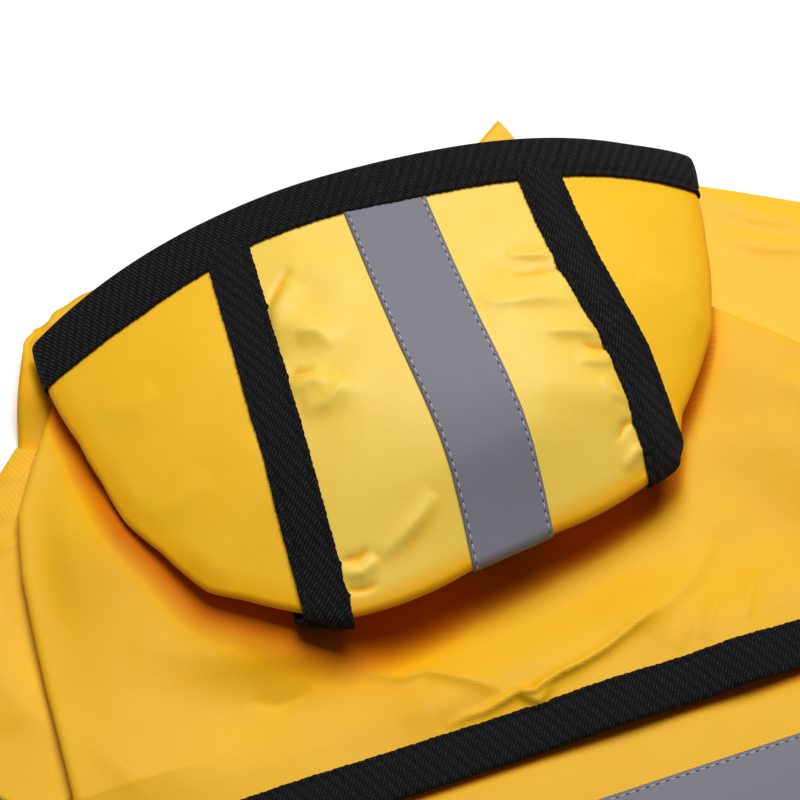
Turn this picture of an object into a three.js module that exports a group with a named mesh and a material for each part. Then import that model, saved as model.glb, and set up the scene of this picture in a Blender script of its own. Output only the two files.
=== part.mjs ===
// Dog raincoat laid flat, back upward, with its hood folded back over the shoulders.
// Millimetres, +Z up. X runs across the coat, +Y to the neck, -Y to the tail.
// The garment is drawn about the hood's middle, then moved so that the origin is under its middle.
import * as THREE from "three";

// Cloth, tape and seam thicknesses
const CLOTH = 1.2;
const SLEEVE_CLOTH = 1;
const TAPE = 0.9;
const REFLECTIVE = 0.6;
const SEAM_GAP = 0.3;
const EDGE_INSET = 0.15;
const EDGE_DROP = 0.48;
const TAPE_WIDTH = 12.5;
const BAND_WIDTH = 25;

// Hood, in plan: a bag with its mouth to the neck and its fold to the tail
const HOOD_CENTRE_X = -6;
const HOOD_CENTRE_Y = 38;
const HOOD_DEPTH = 101;
const HOOD_LEFT = { reach: 104, fullness: 2.4, slope: 1.7 };
const HOOD_RIGHT = { reach: 103, fullness: 2, slope: 2.4 };
const HOOD_CROWN = 40;
const HOOD_BRIM_DROP = 3.5;
const BRIM_TOP = 74.5;
const BRIM_MIDDLE_X = -18;
const BRIM_CURVE = 0.00187;
const HOOD_LIP_Y = 36;
const LIP_CORNER = 6;
const BRIM_TUCK = 3;
const MOUTH_SIDE_SHARE = 0.14;
const UNDER_SLOPE = 3;
const HOOD_CLEARANCE = 0.4;
const HOOD_SEAM = 0.7;
const SEAM_FOOT_RADII = 1.3;
const SEAM_MIDDLE_X = 0.7;
const SEAM_HALF_WIDTH = 48.2;
const SEAM_SPREAD = 0.045;
const SEAM_START_Y = 57;
const STRIP_MIDDLE_X = 1.9;
const TAPE_START_GAP = 1.6;
const TAPE_TURNED_UNDER = 22;
const HOOD_STEPS = { across: 8, top: 10, fold: 6, under: 4, rings: 11, sideFlat: 5, sideFold: 3 };

// The folded edge of the hood: angle round it from the right, height of its middle, and its radius
const HOOD_EDGE = [
  { angle: 0, height: 16.5, radius: 4 },
  { angle: 35, height: 17.5, radius: 5 },
  { angle: 60, height: 20.5, radius: 7 },
  { angle: 90, height: 22.5, radius: 8 },
  { angle: 118, height: 21, radius: 7 },
  { angle: 140, height: 16.5, radius: 4 },
  { angle: 160, height: 14.5, radius: 3 },
  { angle: 180, height: 14.2, radius: 2.8 },
];

// Yoke: its side folds down the length of the back, and how far the folded edge returns beneath
const YOKE_NECK_Y = 40;
const YOKE_END_Y = -111.3;
const YOKE_SIDE_HEIGHT = 7;
const YOKE_LIES_AT = 2.4;
const YOKE_RISE = { from: -92, to: -66 };
const YOKE_SIDE_SLOPE = { from: 16, to: 60 };
const YOKE_FOLD_FADE = { from: 4, to: 16 };
const YOKE_FOLD = 2;
const YOKE_STEPS = { down: 14, across: 16, fold: 5 };
const YOKE_SIDES = [
  { y: 40, left: -109, right: 66, raise: 1.9, under: 14 },
  { y: 22, left: -120.5, right: 78, raise: 1.9, under: 14 },
  { y: 5, left: -130, right: 91, raise: 1.9, under: 14 },
  { y: -14, left: -133.6, right: 110, raise: 1.9, under: 14 },
  { y: -32, left: -135, right: 125, raise: 1.9, under: 14 },
  { y: -50, left: -136, right: 133, raise: 2.3, under: 12 },
  { y: -68, left: -136.4, right: 136, raise: 3.6, under: 3 },
  { y: -85, left: -137, right: 137.4, raise: 3.6, under: 1.5 },
  { y: -98, left: -138, right: 138.4, raise: 0, under: 1.5 },
  { y: -112, left: -139, right: 139, raise: 0, under: 1.5 },
];

// The yoke's largest folds: the line of each, how high or low it is, and how wide
const YOKE_FOLDS = [
  { x0: -34, y0: -90, x1: 29, y1: -81, height: 1.8, width: 9 },
  { x0: 29, y0: -81, x1: 62, y1: -60, height: 1.6, width: 11 },
  { x0: -30, y0: -97, x1: 30, y1: -88, height: -0.5, width: 4 },
  { x0: -44, y0: -74, x1: -20, y1: -80, height: 1.2, width: 9 },
  { x0: 16, y0: -102, x1: 18, y1: -128, height: 1.8, width: 18 },
  { x0: 54, y0: -96, x1: 55, y1: -128, height: 2.2, width: 12 },
  { x0: -100, y0: -48, x1: -66, y1: -62, height: 1.6, width: 16 },
  { x0: 70, y0: -34, x1: 100, y1: -52, height: 1.8, width: 14 },
  { x0: -76, y0: -98, x1: -74, y1: -126, height: 0.9, width: 14 },
];

// Rear back panel, from under the yoke to the tail
const BACK_TOP_Y = -90;
const BACK_HALF_WIDTH = 126;
const BACK_SIDE_END_Y = -232;
const BACK_TAIL = 90;
const BACK_FULLNESS = 2.6;
const BACK_STEPS = { across: 22, down: 15, band: 18 };
const BACK_ON_FRONT = 2.2;
const BACK_ONTO_FRONT = { from: -228, to: -210 };
const BACK_SEAM_Y = -98;
const BACK_FOLD_FADE = { from: 14, to: 30 };
const BACK_FOLDS_FROM = { from: -128, to: -112 };
const BACK_BAND_Y = -128.2;
const BACK_BAND_MARGIN = 2;
const BACK_FOLDS = [
  { x0: -96, y0: -150, x1: -40, y1: -190, height: 1.1, width: 11 },
  { x0: 30, y0: -176, x1: 84, y1: -160, height: 1.2, width: 12 },
  { x0: -30, y0: -230, x1: 36, y1: -268, height: 2, width: 13 },
  { x0: -104, y0: -232, x1: -84, y1: -276, height: 2.2, width: 12 },
  { x0: 92, y0: -226, x1: 82, y1: -280, height: 2, width: 12 },
];

// Front and chest panels, flat under the coat: neck, armhole, side and belly hem
const FRONT_HEM_Y = -200;
const FRONT_GAP = 0.3;
const ARMHOLE_GAP = 0.7;
const HEEL_SHARE = 0.42;
const HEEL_DROP = 4.2;
const FOOT_DROP = 2.8;
const ARMHOLE_STEPS = 10;
const FRONT_EDGE_LEFT = [
  { x: 0, y: 79 },
  { x: -60, y: 80 },
  { x: -92, y: 76 },
  { x: -101, y: 72.4 },
  { x: -104, y: 69.6 },
  { x: -108.5, y: 68.5 },
  { x: -113, y: 60 },
  { x: -116.8, y: 50 },
  { x: -121, y: 39 },
];
const FRONT_EDGE_RIGHT = [
  { x: 0, y: 79 },
  { x: 28, y: 80 },
  { x: 40.7, y: 86.5 },
  { x: 52.2, y: 93.2 },
  { x: 55.5, y: 84.5 },
  { x: 78, y: 68 },
  { x: 92, y: 56 },
];
const FRONT_SIDE = [
  { x: 126, y: -97 },
  { x: 126, y: FRONT_HEM_Y },
  { x: 0, y: FRONT_HEM_Y },
];

// Sleeves: the armhole curve from its front to its back, and the two ends of the cuff
const SLEEVE_LEFT = {
  armhole: [
    { x: -124, y: 30 },
    { x: -131, y: 10 },
    { x: -130, y: -15 },
    { x: -122, y: -42 },
    { x: -112, y: -62 },
  ],
  cuffFront: { x: -190.7, y: -36.6 },
  cuffBack: { x: -145, y: -88 },
};
const SLEEVE_RIGHT = {
  armhole: [
    { x: 96, y: 51 },
    { x: 97, y: 30 },
    { x: 101, y: 5 },
    { x: 107, y: -22 },
    { x: 113, y: -50 },
  ],
  cuffFront: { x: 192, y: 1 },
  cuffBack: { x: 150.5, y: -74 },
};
const SLEEVE_FOLD = 1.1;
const SLEEVE_PUFF = 2.4;
const PUFF_ALONG = { from: 0.4, to: 0.62 };
const SLEEVE_STEPS = { along: 8, across: 6 };
const CUFF_TAPE = 0.8;
const CUFF_RUN = 14;

const YELLOW = { color: 0xf2b636, roughness: 0.55, metalness: 0 };
const BLACK = { color: 0x1c1a1d, roughness: 0.9, metalness: 0 };
const GREY = { color: 0x86848f, roughness: 0.45, metalness: 0.1 };

const { lerp, smoothstep, degToRad, radToDeg } = THREE.MathUtils;

// A value read from a table by one of its columns, in straight steps between rows
function readTable(table, by, at, column) {
  const rising = table[0][by] < table[table.length - 1][by];
  const rows = rising ? table : [...table].reverse();
  if (at <= rows[0][by]) return rows[0][column];
  for (let i = 1; i < rows.length; i += 1) {
    const [low, high] = [rows[i - 1], rows[i]];
    if (at <= high[by]) {
      return lerp(low[column], high[column], (at - low[by]) / (high[by] - low[by]));
    }
  }
  return rows[rows.length - 1][column];
}

// Where a value lies in a span, from 0 to 1, with a soft start and end
function within(at, span) {
  return smoothstep(at, span.from, span.to);
}

// A curve through a short table of plan points
function planCurve(points) {
  const curve = new THREE.CatmullRomCurve3(points.map((p) => new THREE.Vector3(p.x, p.y, 0)));
  return (t) => curve.getPoint(THREE.MathUtils.clamp(t, 0, 1));
}

// Height that a table of soft folds adds at a point: each is a rounded ridge or trough along a line
function foldHeight(folds, x, y) {
  let height = 0;
  for (const fold of folds) {
    const [runX, runY] = [fold.x1 - fold.x0, fold.y1 - fold.y0];
    const along = ((x - fold.x0) * runX + (y - fold.y0) * runY) / (runX * runX + runY * runY);
    const t = THREE.MathUtils.clamp(along, 0, 1);
    const away = Math.hypot(x - fold.x0 - t * runX, y - fold.y0 - t * runY);
    height += fold.height * Math.exp(-((away / fold.width) ** 2));
  }
  return height;
}

// The outward direction at each point of a grid, from its neighbours
function gridNormals(grid, ring) {
  const rows = grid.length;
  const cols = grid[0].length;
  return grid.map((row, i) =>
    row.map((_, j) => {
      const above = grid[Math.max(i - 1, 0)][j];
      const below = grid[Math.min(i + 1, rows - 1)][j];
      const before = ring ? row[(j + cols - 1) % cols] : row[Math.max(j - 1, 0)];
      const after = ring ? row[(j + 1) % cols] : row[Math.min(j + 1, cols - 1)];
      const down = below.clone().sub(above);
      const across = after.clone().sub(before);
      return across.cross(down).normalize();
    }),
  );
}

// A grid moved out along its normals
function movedOut(grid, distance, ring = false) {
  const normals = gridNormals(grid, ring);
  return grid.map((row, i) => row.map((p, j) => p.clone().addScaledVector(normals[i][j], distance)));
}

// The middle surface of a tape that lies on the upper face of a panel
function laidOn(grid, thickness) {
  const upward = gridNormals(grid, false)[1][1].z < 0 ? -1 : 1;
  return movedOut(grid, upward * (CLOTH / 2 + SEAM_GAP + thickness / 2));
}

// A closed wall of even thickness about a grid; a ring joins its last column to its first
function clothWall(grid, thickness, ring = false) {
  const rows = grid.length;
  const cols = grid[0].length;
  const outer = movedOut(grid, thickness / 2, ring);
  const inner = movedOut(grid, -thickness / 2, ring);
  const positions = [];
  for (const layer of [outer, inner]) {
    for (const row of layer) {
      for (const p of row) positions.push(p.x, p.y, p.z);
    }
  }
  const at = (layer, i, j) => layer * rows * cols + i * cols + (j % cols);
  const index = [];
  const quad = (a, b, c, d) => index.push(a, b, c, a, c, d);
  const spans = ring ? cols : cols - 1;
  for (let i = 0; i < rows - 1; i += 1) {
    for (let j = 0; j < spans; j += 1) {
      quad(at(0, i, j), at(0, i, j + 1), at(0, i + 1, j + 1), at(0, i + 1, j));
      quad(at(1, i, j), at(1, i + 1, j), at(1, i + 1, j + 1), at(1, i, j + 1));
    }
  }
  for (let j = 0; j < spans; j += 1) {
    quad(at(0, 0, j + 1), at(0, 0, j), at(1, 0, j), at(1, 0, j + 1));
    quad(at(0, rows - 1, j), at(0, rows - 1, j + 1), at(1, rows - 1, j + 1), at(1, rows - 1, j));
  }
  if (!ring) {
    const last = cols - 1;
    for (let i = 0; i < rows - 1; i += 1) {
      quad(at(0, i, 0), at(0, i + 1, 0), at(1, i + 1, 0), at(1, i, 0));
      quad(at(0, i + 1, last), at(0, i, last), at(1, i, last), at(1, i + 1, last));
    }
  }
  return facingOut(positions, index);
}

// A geometry whose faces point out of its solid
function facingOut(positions, index) {
  const corner = (k) => new THREE.Vector3().fromArray(positions, index[k] * 3);
  let volume = 0;
  for (let k = 0; k < index.length; k += 3) {
    volume += corner(k).dot(corner(k + 1).cross(corner(k + 2)));
  }
  if (volume < 0) {
    for (let k = 0; k < index.length; k += 3) {
      [index[k], index[k + 1]] = [index[k + 1], index[k]];
    }
  }
  const geometry = new THREE.BufferGeometry();
  geometry.setAttribute("position", new THREE.Float32BufferAttribute(positions, 3));
  geometry.setIndex(index);
  return geometry;
}

// Even steps from one value to another, both ends kept
function steps(from, to, count) {
  return Array.from({ length: count + 1 }, (_, i) => lerp(from, to, i / count));
}

// Tape folded over an edge: its section goes down the outer face, round the edge and back inside.
// panelPoint(station, inset) is a point of the cloth's middle, inset from the edge.
function foldedTape(panelPoint, stations, options = {}) {
  const { cloth = CLOTH, tape = TAPE, width = TAPE_WIDTH, ring = false, inside = true } = options;
  const insets = [width, width * 0.5, EDGE_INSET];
  const offset = cloth / 2 + SEAM_GAP + tape / 2;
  const strip = insets.map((inset) => stations.map((s) => panelPoint(s, inset)));
  const normals = gridNormals(strip, ring);
  const topStation = ring ? 2 : Math.floor(stations.length / 2);
  const side = normals[0][topStation].z < 0 ? -1 : 1;
  const section = [];
  insets.forEach((_, i) => section.push({ row: i, turn: 0 }));
  const turns = inside ? [45, 90, 135, 180] : [45, 90];
  turns.forEach((turn) => section.push({ row: insets.length - 1, turn }));
  if (inside) {
    section.push({ row: 1, turn: 180 });
    section.push({ row: 0, turn: 180 });
  } else {
    section.push({ row: insets.length - 1, turn: 90, drop: EDGE_DROP });
  }
  const edge = insets.length - 1;
  const grid = section.map(({ row, turn, drop = 0 }) =>
    stations.map((_, j) => {
      const normal = normals[row][j].clone().multiplyScalar(side);
      const outward = strip[edge][j].clone().sub(strip[edge - 1][j]).normalize();
      const angle = degToRad(turn);
      return strip[row][j]
        .clone()
        .addScaledVector(normal, offset * Math.cos(angle) - drop)
        .addScaledVector(outward, offset * Math.sin(angle));
    }),
  );
  return clothWall(grid, tape, ring);
}

// Hood: how far a plan point is from its middle, 0, to its folded edge, 1
function hoodSide(x) {
  return x < HOOD_CENTRE_X ? HOOD_LEFT : HOOD_RIGHT;
}

function hoodInset(x, y) {
  const { reach, fullness } = hoodSide(x);
  const across = Math.abs(x - HOOD_CENTRE_X) / reach;
  const down = Math.max(HOOD_CENTRE_Y - y, 0) / HOOD_DEPTH;
  return Math.min((across ** fullness + down ** fullness) ** (1 / fullness), 1);
}

// The y of the line that lies at one inset, below a given x
function hoodLineY(x, inset) {
  const { reach, fullness } = hoodSide(x);
  const across = Math.abs(x - HOOD_CENTRE_X) / reach;
  const down = Math.max(inset ** fullness - across ** fullness, 0) ** (1 / fullness);
  return HOOD_CENTRE_Y - HOOD_DEPTH * down;
}

function hoodEdge(x, y) {
  const { reach } = hoodSide(x);
  const across = (x - HOOD_CENTRE_X) / reach;
  const down = Math.max(HOOD_CENTRE_Y - y, 0) / HOOD_DEPTH;
  const angle = radToDeg(Math.atan2(down, across));
  return {
    height: readTable(HOOD_EDGE, "angle", angle, "height"),
    radius: readTable(HOOD_EDGE, "angle", angle, "radius"),
  };
}

// The hood's middle surface: layer 1 is its top, layer -1 what lies under it
function hoodPoint(x, y, layer) {
  const inset = hoodInset(x, y);
  const { height, radius } = hoodEdge(x, y);
  const away = Math.min(((1 - inset) * HOOD_DEPTH) / radius, 1);
  const round = radius * Math.sqrt(1 - (1 - away) ** 2);
  if (layer > 0) {
    const crown = HOOD_CROWN - HOOD_BRIM_DROP * smoothstep(y, 0, BRIM_TOP);
    const rise = 1 - inset ** hoodSide(x).slope;
    return new THREE.Vector3(x, y, height + round + (crown - height - radius) * rise);
  }
  const floor = yokeHeight(x, y) + CLOTH + HOOD_CLEARANCE;
  const sink = 1 - inset ** UNDER_SLOPE;
  return new THREE.Vector3(x, y, height - round - (height - radius - floor) * sink);
}

function brimY(x) {
  return BRIM_TOP - BRIM_CURVE * (x - BRIM_MIDDLE_X) ** 2;
}

// The lower lip of the hood's mouth, sewn to the neck of the yoke and meeting the brim at the sides
function lipY(x) {
  const across = Math.abs(x - HOOD_CENTRE_X) / hoodSide(x).reach;
  return lerp(HOOD_LIP_Y, brimY(x), across ** LIP_CORNER);
}

function seamX(side, y) {
  return SEAM_MIDDLE_X + side * (SEAM_HALF_WIDTH + SEAM_SPREAD * (SEAM_START_Y - y));
}

// Plan stations down a line of the hood: over the top, round the tail fold and back underneath
function hoodDown({ xAt, from, underSteps, underEnd }) {
  const bottomX = xAt(hoodLineY(xAt(-HOOD_DEPTH + HOOD_CENTRE_Y), 1));
  const { radius } = hoodEdge(bottomX, hoodLineY(bottomX, 1));
  const foldStart = 1 - radius / HOOD_DEPTH;
  const startY = hoodLineY(bottomX, foldStart);
  const mouthY = from(xAt(SEAM_START_Y));
  const topY = from(xAt(mouthY));
  const points = steps(topY, startY, HOOD_STEPS.top).map((y) => hoodPoint(xAt(y), y, 1));
  for (const angle of steps(90, -90, HOOD_STEPS.fold).slice(1)) {
    const inset = 1 - (radius / HOOD_DEPTH) * (1 - Math.cos(degToRad(angle)));
    const y = hoodLineY(bottomX, inset);
    points.push(hoodPoint(xAt(y), y, angle >= 0 ? 1 : -1));
  }
  for (const y of steps(startY, underEnd(bottomX), underSteps).slice(1)) {
    points.push(hoodPoint(xAt(y), y, -1));
  }
  return points;
}

function transpose(lines) {
  return lines[0].map((_, i) => lines.map((line) => line[i]));
}

// The centre panel of the hood, from the brim over the crown and back beneath
function hoodGusset() {
  const gap = HOOD_SEAM / 2;
  const lines = steps(0, 1, HOOD_STEPS.across).map((across) => {
    const xAt = (y) => lerp(seamX(-1, y) + gap, seamX(1, y) - gap, across);
    return hoodDown({ xAt, from: brimY, underSteps: HOOD_STEPS.under, underEnd: lipY });
  });
  return clothWall(transpose(lines), CLOTH);
}

// A tape along the hood, moved out from the panels beneath it
function hoodTape(middleAt, width, thickness, columns) {
  const start = (x) => brimY(x) - TAPE_WIDTH - TAPE_START_GAP;
  const lines = steps(-width / 2, width / 2, columns).map((across) => {
    const xAt = (y) => middleAt(y) + across;
    const underEnd = (x) => hoodLineY(x, 1) + TAPE_TURNED_UNDER;
    return hoodDown({ xAt, from: start, underSteps: 1, underEnd });
  });
  const grid = transpose(lines);
  return clothWall(laidOn(grid, thickness), thickness);
}

// A point of the hood's folded edge: down the side of the mouth, then round to the seam's foot
function hoodEdgePlan(side, t, footX) {
  const { reach, fullness } = side < 0 ? HOOD_LEFT : HOOD_RIGHT;
  const edgeX = HOOD_CENTRE_X + side * reach;
  if (t <= MOUTH_SIDE_SHARE) {
    return { x: edgeX, y: lerp(brimY(edgeX), HOOD_CENTRE_Y, t / MOUTH_SIDE_SHARE) };
  }
  const foot = Math.acos((Math.abs(footX - HOOD_CENTRE_X) / reach) ** (fullness / 2));
  const turn = (foot * (t - MOUTH_SIDE_SHARE)) / (1 - MOUTH_SIDE_SHARE);
  return {
    x: HOOD_CENTRE_X + side * reach * Math.cos(turn) ** (2 / fullness),
    y: HOOD_CENTRE_Y - HOOD_DEPTH * Math.sin(turn) ** (2 / fullness),
  };
}

// A side panel of the hood: rings from the seam on top, round the folded edge, to the seam beneath
function hoodSidePanel(side) {
  const gap = (side * HOOD_SEAM) / 2;
  const footX = seamX(side, hoodLineY(seamX(side, -HOOD_DEPTH / 2), 1)) + gap;
  const footY = hoodLineY(footX, 1);
  const footRadius = hoodEdge(footX, footY).radius;
  const footTop = hoodLineY(footX, 1 - (SEAM_FOOT_RADII * footRadius) / HOOD_DEPTH);
  const rings = steps(0, 1, HOOD_STEPS.rings).map((t) => {
    const edge = hoodEdgePlan(side, t, footX);
    const { radius } = hoodEdge(edge.x, edge.y);
    const ring = [];
    for (const layer of [1, -1]) {
      const mouth = layer > 0 ? brimY : lipY;
      const mouthX = seamX(side, SEAM_START_Y) + gap;
      const seamY = lerp(mouth(mouthX), footTop, t);
      const seam = { x: seamX(side, seamY) + gap, y: seamY };
      const length = Math.hypot(edge.x - seam.x, edge.y - seam.y);
      const foldPart = Math.min(radius / length, 1);
      const flat = steps(0, 1 - foldPart, HOOD_STEPS.sideFlat);
      const fold = steps(90, 0, HOOD_STEPS.sideFold)
        .slice(1)
        .map((angle) => 1 - foldPart * (1 - Math.cos(degToRad(angle))));
      const line = [...flat, ...fold].map((s) => {
        const x = lerp(seam.x, edge.x, s);
        const curve = mouth(x) - lerp(mouth(seam.x), mouth(edge.x), s);
        return hoodPoint(x, lerp(seam.y, edge.y, s) + curve * (1 - t) ** 2, layer);
      });
      ring.push(...(layer > 0 ? line : line.slice(0, -1).reverse()));
    }
    return ring;
  });
  return clothWall(rings, CLOTH);
}

// The tape along the brim, folded over its edge and turned under at both ends
function hoodBinding() {
  const leftX = HOOD_CENTRE_X - HOOD_LEFT.reach;
  const rightX = HOOD_CENTRE_X + HOOD_RIGHT.reach;
  const turned = (edgeX, inward) => {
    const { radius } = hoodEdge(edgeX, HOOD_CENTRE_Y);
    return steps(-90, 90, HOOD_STEPS.fold).map((angle) => ({
      x: edgeX + inward * radius * (1 - Math.cos(degToRad(angle))),
      layer: angle > 0 ? 1 : -1,
    }));
  };
  const left = turned(leftX, 1);
  const right = turned(rightX, -1).reverse();
  const top = steps(left[left.length - 1].x, right[0].x, YOKE_STEPS.across).slice(1, -1);
  const stations = [
    { x: left[0].x + BRIM_TUCK, layer: -1 },
    ...left,
    ...top.map((x) => ({ x, layer: 1 })),
    ...right,
    { x: right[right.length - 1].x - BRIM_TUCK, layer: -1 },
  ];
  const panelPoint = ({ x, layer }, inset) => {
    const edge = layer > 0 ? brimY(x) : lipY(x);
    return hoodPoint(x, edge - inset, layer);
  };
  return foldedTape(panelPoint, stations);
}

// Yoke
function yokeHeight(x, y) {
  const left = readTable(YOKE_SIDES, "y", y, "left");
  const right = readTable(YOKE_SIDES, "y", y, "right");
  const raise = readTable(YOKE_SIDES, "y", y, "raise");
  const fromSide = Math.min(x - left, right - x);
  const side = 1 - within(fromSide, YOKE_SIDE_SLOPE);
  const overBack = 1 - within(y, YOKE_RISE);
  const middle = lerp(YOKE_LIES_AT, YOKE_SIDE_HEIGHT, overBack);
  const folds = foldHeight(YOKE_FOLDS, x, y) * within(fromSide, YOKE_FOLD_FADE);
  return lerp(middle, YOKE_SIDE_HEIGHT + raise, side) + folds;
}

// The yoke's section at y: beneath on the left, round the fold, across, and the same on the right
function yokeSection(y) {
  const row = (column) => readTable(YOKE_SIDES, "y", y, column);
  const under = row("under");
  const half = (edgeX, inward) => {
    const middle = edgeX + inward * (YOKE_FOLD + CLOTH / 2);
    const top = yokeHeight(middle, y);
    const points = steps(under, 0, 1)
      .slice(0, -1)
      .map((run) => new THREE.Vector3(middle + inward * run, y, top - 2 * YOKE_FOLD));
    for (const angle of steps(-90, 90, YOKE_STEPS.fold)) {
      const turn = degToRad(angle);
      const x = middle - inward * YOKE_FOLD * Math.cos(turn);
      points.push(new THREE.Vector3(x, y, top - YOKE_FOLD + YOKE_FOLD * Math.sin(turn)));
    }
    return points;
  };
  const left = half(row("left"), 1);
  const right = half(row("right"), -1).reverse();
  const top = steps(left[left.length - 1].x, right[0].x, YOKE_STEPS.across)
    .slice(1, -1)
    .map((x) => new THREE.Vector3(x, y, yokeHeight(x, y)));
  return [...left, ...top, ...right];
}

function yoke() {
  const bandTop = YOKE_END_Y + TAPE_WIDTH;
  const open = steps(YOKE_NECK_Y, bandTop, YOKE_STEPS.down);
  const rows = [...open, YOKE_END_Y + TAPE_WIDTH / 2, YOKE_END_Y];
  return clothWall(rows.map(yokeSection), CLOTH);
}

function yokeBinding() {
  const stations = yokeSection(YOKE_END_Y).map((_, i) => i);
  const panelPoint = (i, inset) => yokeSection(YOKE_END_Y + inset)[i];
  return foldedTape(panelPoint, stations);
}

// Rear back panel
function backOutlineY(x) {
  const across = Math.min(Math.abs(x) / BACK_HALF_WIDTH, 1);
  return BACK_SIDE_END_Y - BACK_TAIL * (1 - across ** BACK_FULLNESS) ** (1 / BACK_FULLNESS);
}

// How far a point of the back panel is from its side or its tail hem
function backInset(x, y) {
  const across = Math.abs(x) / BACK_HALF_WIDTH;
  const down = Math.max(BACK_SIDE_END_Y - y, 0) / BACK_TAIL;
  return (1 - (across ** BACK_FULLNESS + down ** BACK_FULLNESS) ** (1 / BACK_FULLNESS)) * BACK_TAIL;
}

function backPoint(x, y) {
  const onFront = within(y, BACK_ONTO_FRONT);
  const rest = lerp(CLOTH / 2, BACK_ON_FRONT, onFront);
  const toSeam = smoothstep(y, BACK_SEAM_Y, BACK_TOP_Y);
  const seamed = (yokeHeight(x, y) - CLOTH - 2 * SEAM_GAP - rest) * toSeam;
  const inside = within(backInset(x, y), BACK_FOLD_FADE);
  const open = 1 - within(y, BACK_FOLDS_FROM);
  const folds = foldHeight(BACK_FOLDS, x, y) * inside * open;
  return new THREE.Vector3(x, y, rest + seamed + folds);
}

function backLines(columns) {
  return steps(-90, 90, columns).map((angle) => BACK_HALF_WIDTH * Math.sin(degToRad(angle)));
}

function backPanel() {
  const lines = backLines(BACK_STEPS.across).map((x) =>
    steps(BACK_TOP_Y, backOutlineY(x), BACK_STEPS.down).map((y) => backPoint(x, y)),
  );
  return clothWall(transpose(lines), CLOTH);
}

// The crosswise reflective band, moved out from the back panel
function backReflector() {
  const reach = BACK_HALF_WIDTH - BACK_BAND_MARGIN;
  const lines = steps(-reach, reach, BACK_STEPS.band).map((x) =>
    steps(BACK_BAND_Y, BACK_BAND_Y - BAND_WIDTH, 2).map((y) => backPoint(x, y)),
  );
  const grid = transpose(lines);
  return clothWall(laidOn(grid, REFLECTIVE), REFLECTIVE);
}

// The tape round the tail hem, from side to side
function hemBinding() {
  const columns = backLines(BACK_STEPS.across).slice(1, -1);
  const stations = columns.map((x) => {
    const y = backOutlineY(x);
    const across = Math.sign(x) * (Math.abs(x) / BACK_HALF_WIDTH) ** (BACK_FULLNESS - 1);
    const down = ((BACK_SIDE_END_Y - y) / BACK_TAIL) ** (BACK_FULLNESS - 1);
    const out = new THREE.Vector2(across / BACK_HALF_WIDTH, -down / BACK_TAIL).normalize();
    return { x, y, out };
  });
  const panelPoint = ({ x, y, out }, inset) => backPoint(x - inset * out.x, y - inset * out.y);
  return foldedTape(panelPoint, stations, { inside: false });
}

// Sleeve: a flattened tube from the armhole to the cuff; t runs along it, across from front to back
function sleevePlan(sleeve, t, across) {
  const root = planCurve(sleeve.armhole)(across);
  return {
    x: lerp(root.x, lerp(sleeve.cuffFront.x, sleeve.cuffBack.x, across), t),
    y: lerp(root.y, lerp(sleeve.cuffFront.y, sleeve.cuffBack.y, across), t),
  };
}

function sleeveLength(sleeve, across) {
  const root = sleevePlan(sleeve, 0, across);
  const cuff = sleevePlan(sleeve, 1, across);
  return Math.hypot(root.x - cuff.x, root.y - cuff.y);
}

// run goes from 0 at the armhole to 1 above the cuff and 2 at its edge
function sleeveRing(sleeve, run) {
  const front = sleevePlan(sleeve, run / 2, 0);
  const back = sleevePlan(sleeve, run / 2, 1);
  const fold = SLEEVE_FOLD / Math.hypot(front.x - back.x, front.y - back.y);
  const place = (across, height) => {
    const length = sleeveLength(sleeve, across);
    const fromCuff = run < 1 ? lerp(length, CUFF_RUN, run) : lerp(CUFF_RUN, 0, run - 1);
    const t = 1 - fromCuff / length;
    const p = sleevePlan(sleeve, t, across);
    const clearOfCuff = smoothstep(fromCuff, CUFF_RUN, 2 * CUFF_RUN);
    const opened = (1 - clearOfCuff) * (CUFF_TAPE + SEAM_GAP);
    const puffed = within(t, PUFF_ALONG) * clearOfCuff;
    const puff = height > SLEEVE_FOLD ? SLEEVE_PUFF * Math.sin(Math.PI * across) * puffed : 0;
    return new THREE.Vector3(p.x, p.y, opened + SLEEVE_CLOTH / 2 + height + puff);
  };
  const turned = (angle, backFold) => {
    const inward = fold * (1 - Math.cos(degToRad(angle)));
    const height = SLEEVE_FOLD * (1 + Math.sin(degToRad(angle)));
    return place(backFold ? 1 - inward : inward, height);
  };
  const flat = steps(fold, 1 - fold, SLEEVE_STEPS.across);
  return [
    ...flat.map((across) => place(across, 2 * SLEEVE_FOLD)),
    ...[45, 0, -45].map((angle) => turned(angle, true)),
    ...[...flat].reverse().map((across) => place(across, 0)),
    ...[-45, 0, 45].map((angle) => turned(angle, false)),
  ];
}

function sleeveTube(sleeve) {
  const runs = [...steps(0, 1, SLEEVE_STEPS.along), 1.5, 2];
  return clothWall(runs.map((run) => sleeveRing(sleeve, run)), SLEEVE_CLOTH, true);
}

// The cuff's tape, round the end of the sleeve
function cuffBinding(sleeve) {
  const count = sleeveRing(sleeve, 2).length;
  const stations = Array.from({ length: count }, (_, i) => i);
  const panelPoint = (i, inset) => sleeveRing(sleeve, 2 - inset / CUFF_RUN)[i];
  const options = { cloth: SLEEVE_CLOTH, tape: CUFF_TAPE, ring: true, inside: false };
  return foldedTape(panelPoint, stations, options);
}

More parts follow.
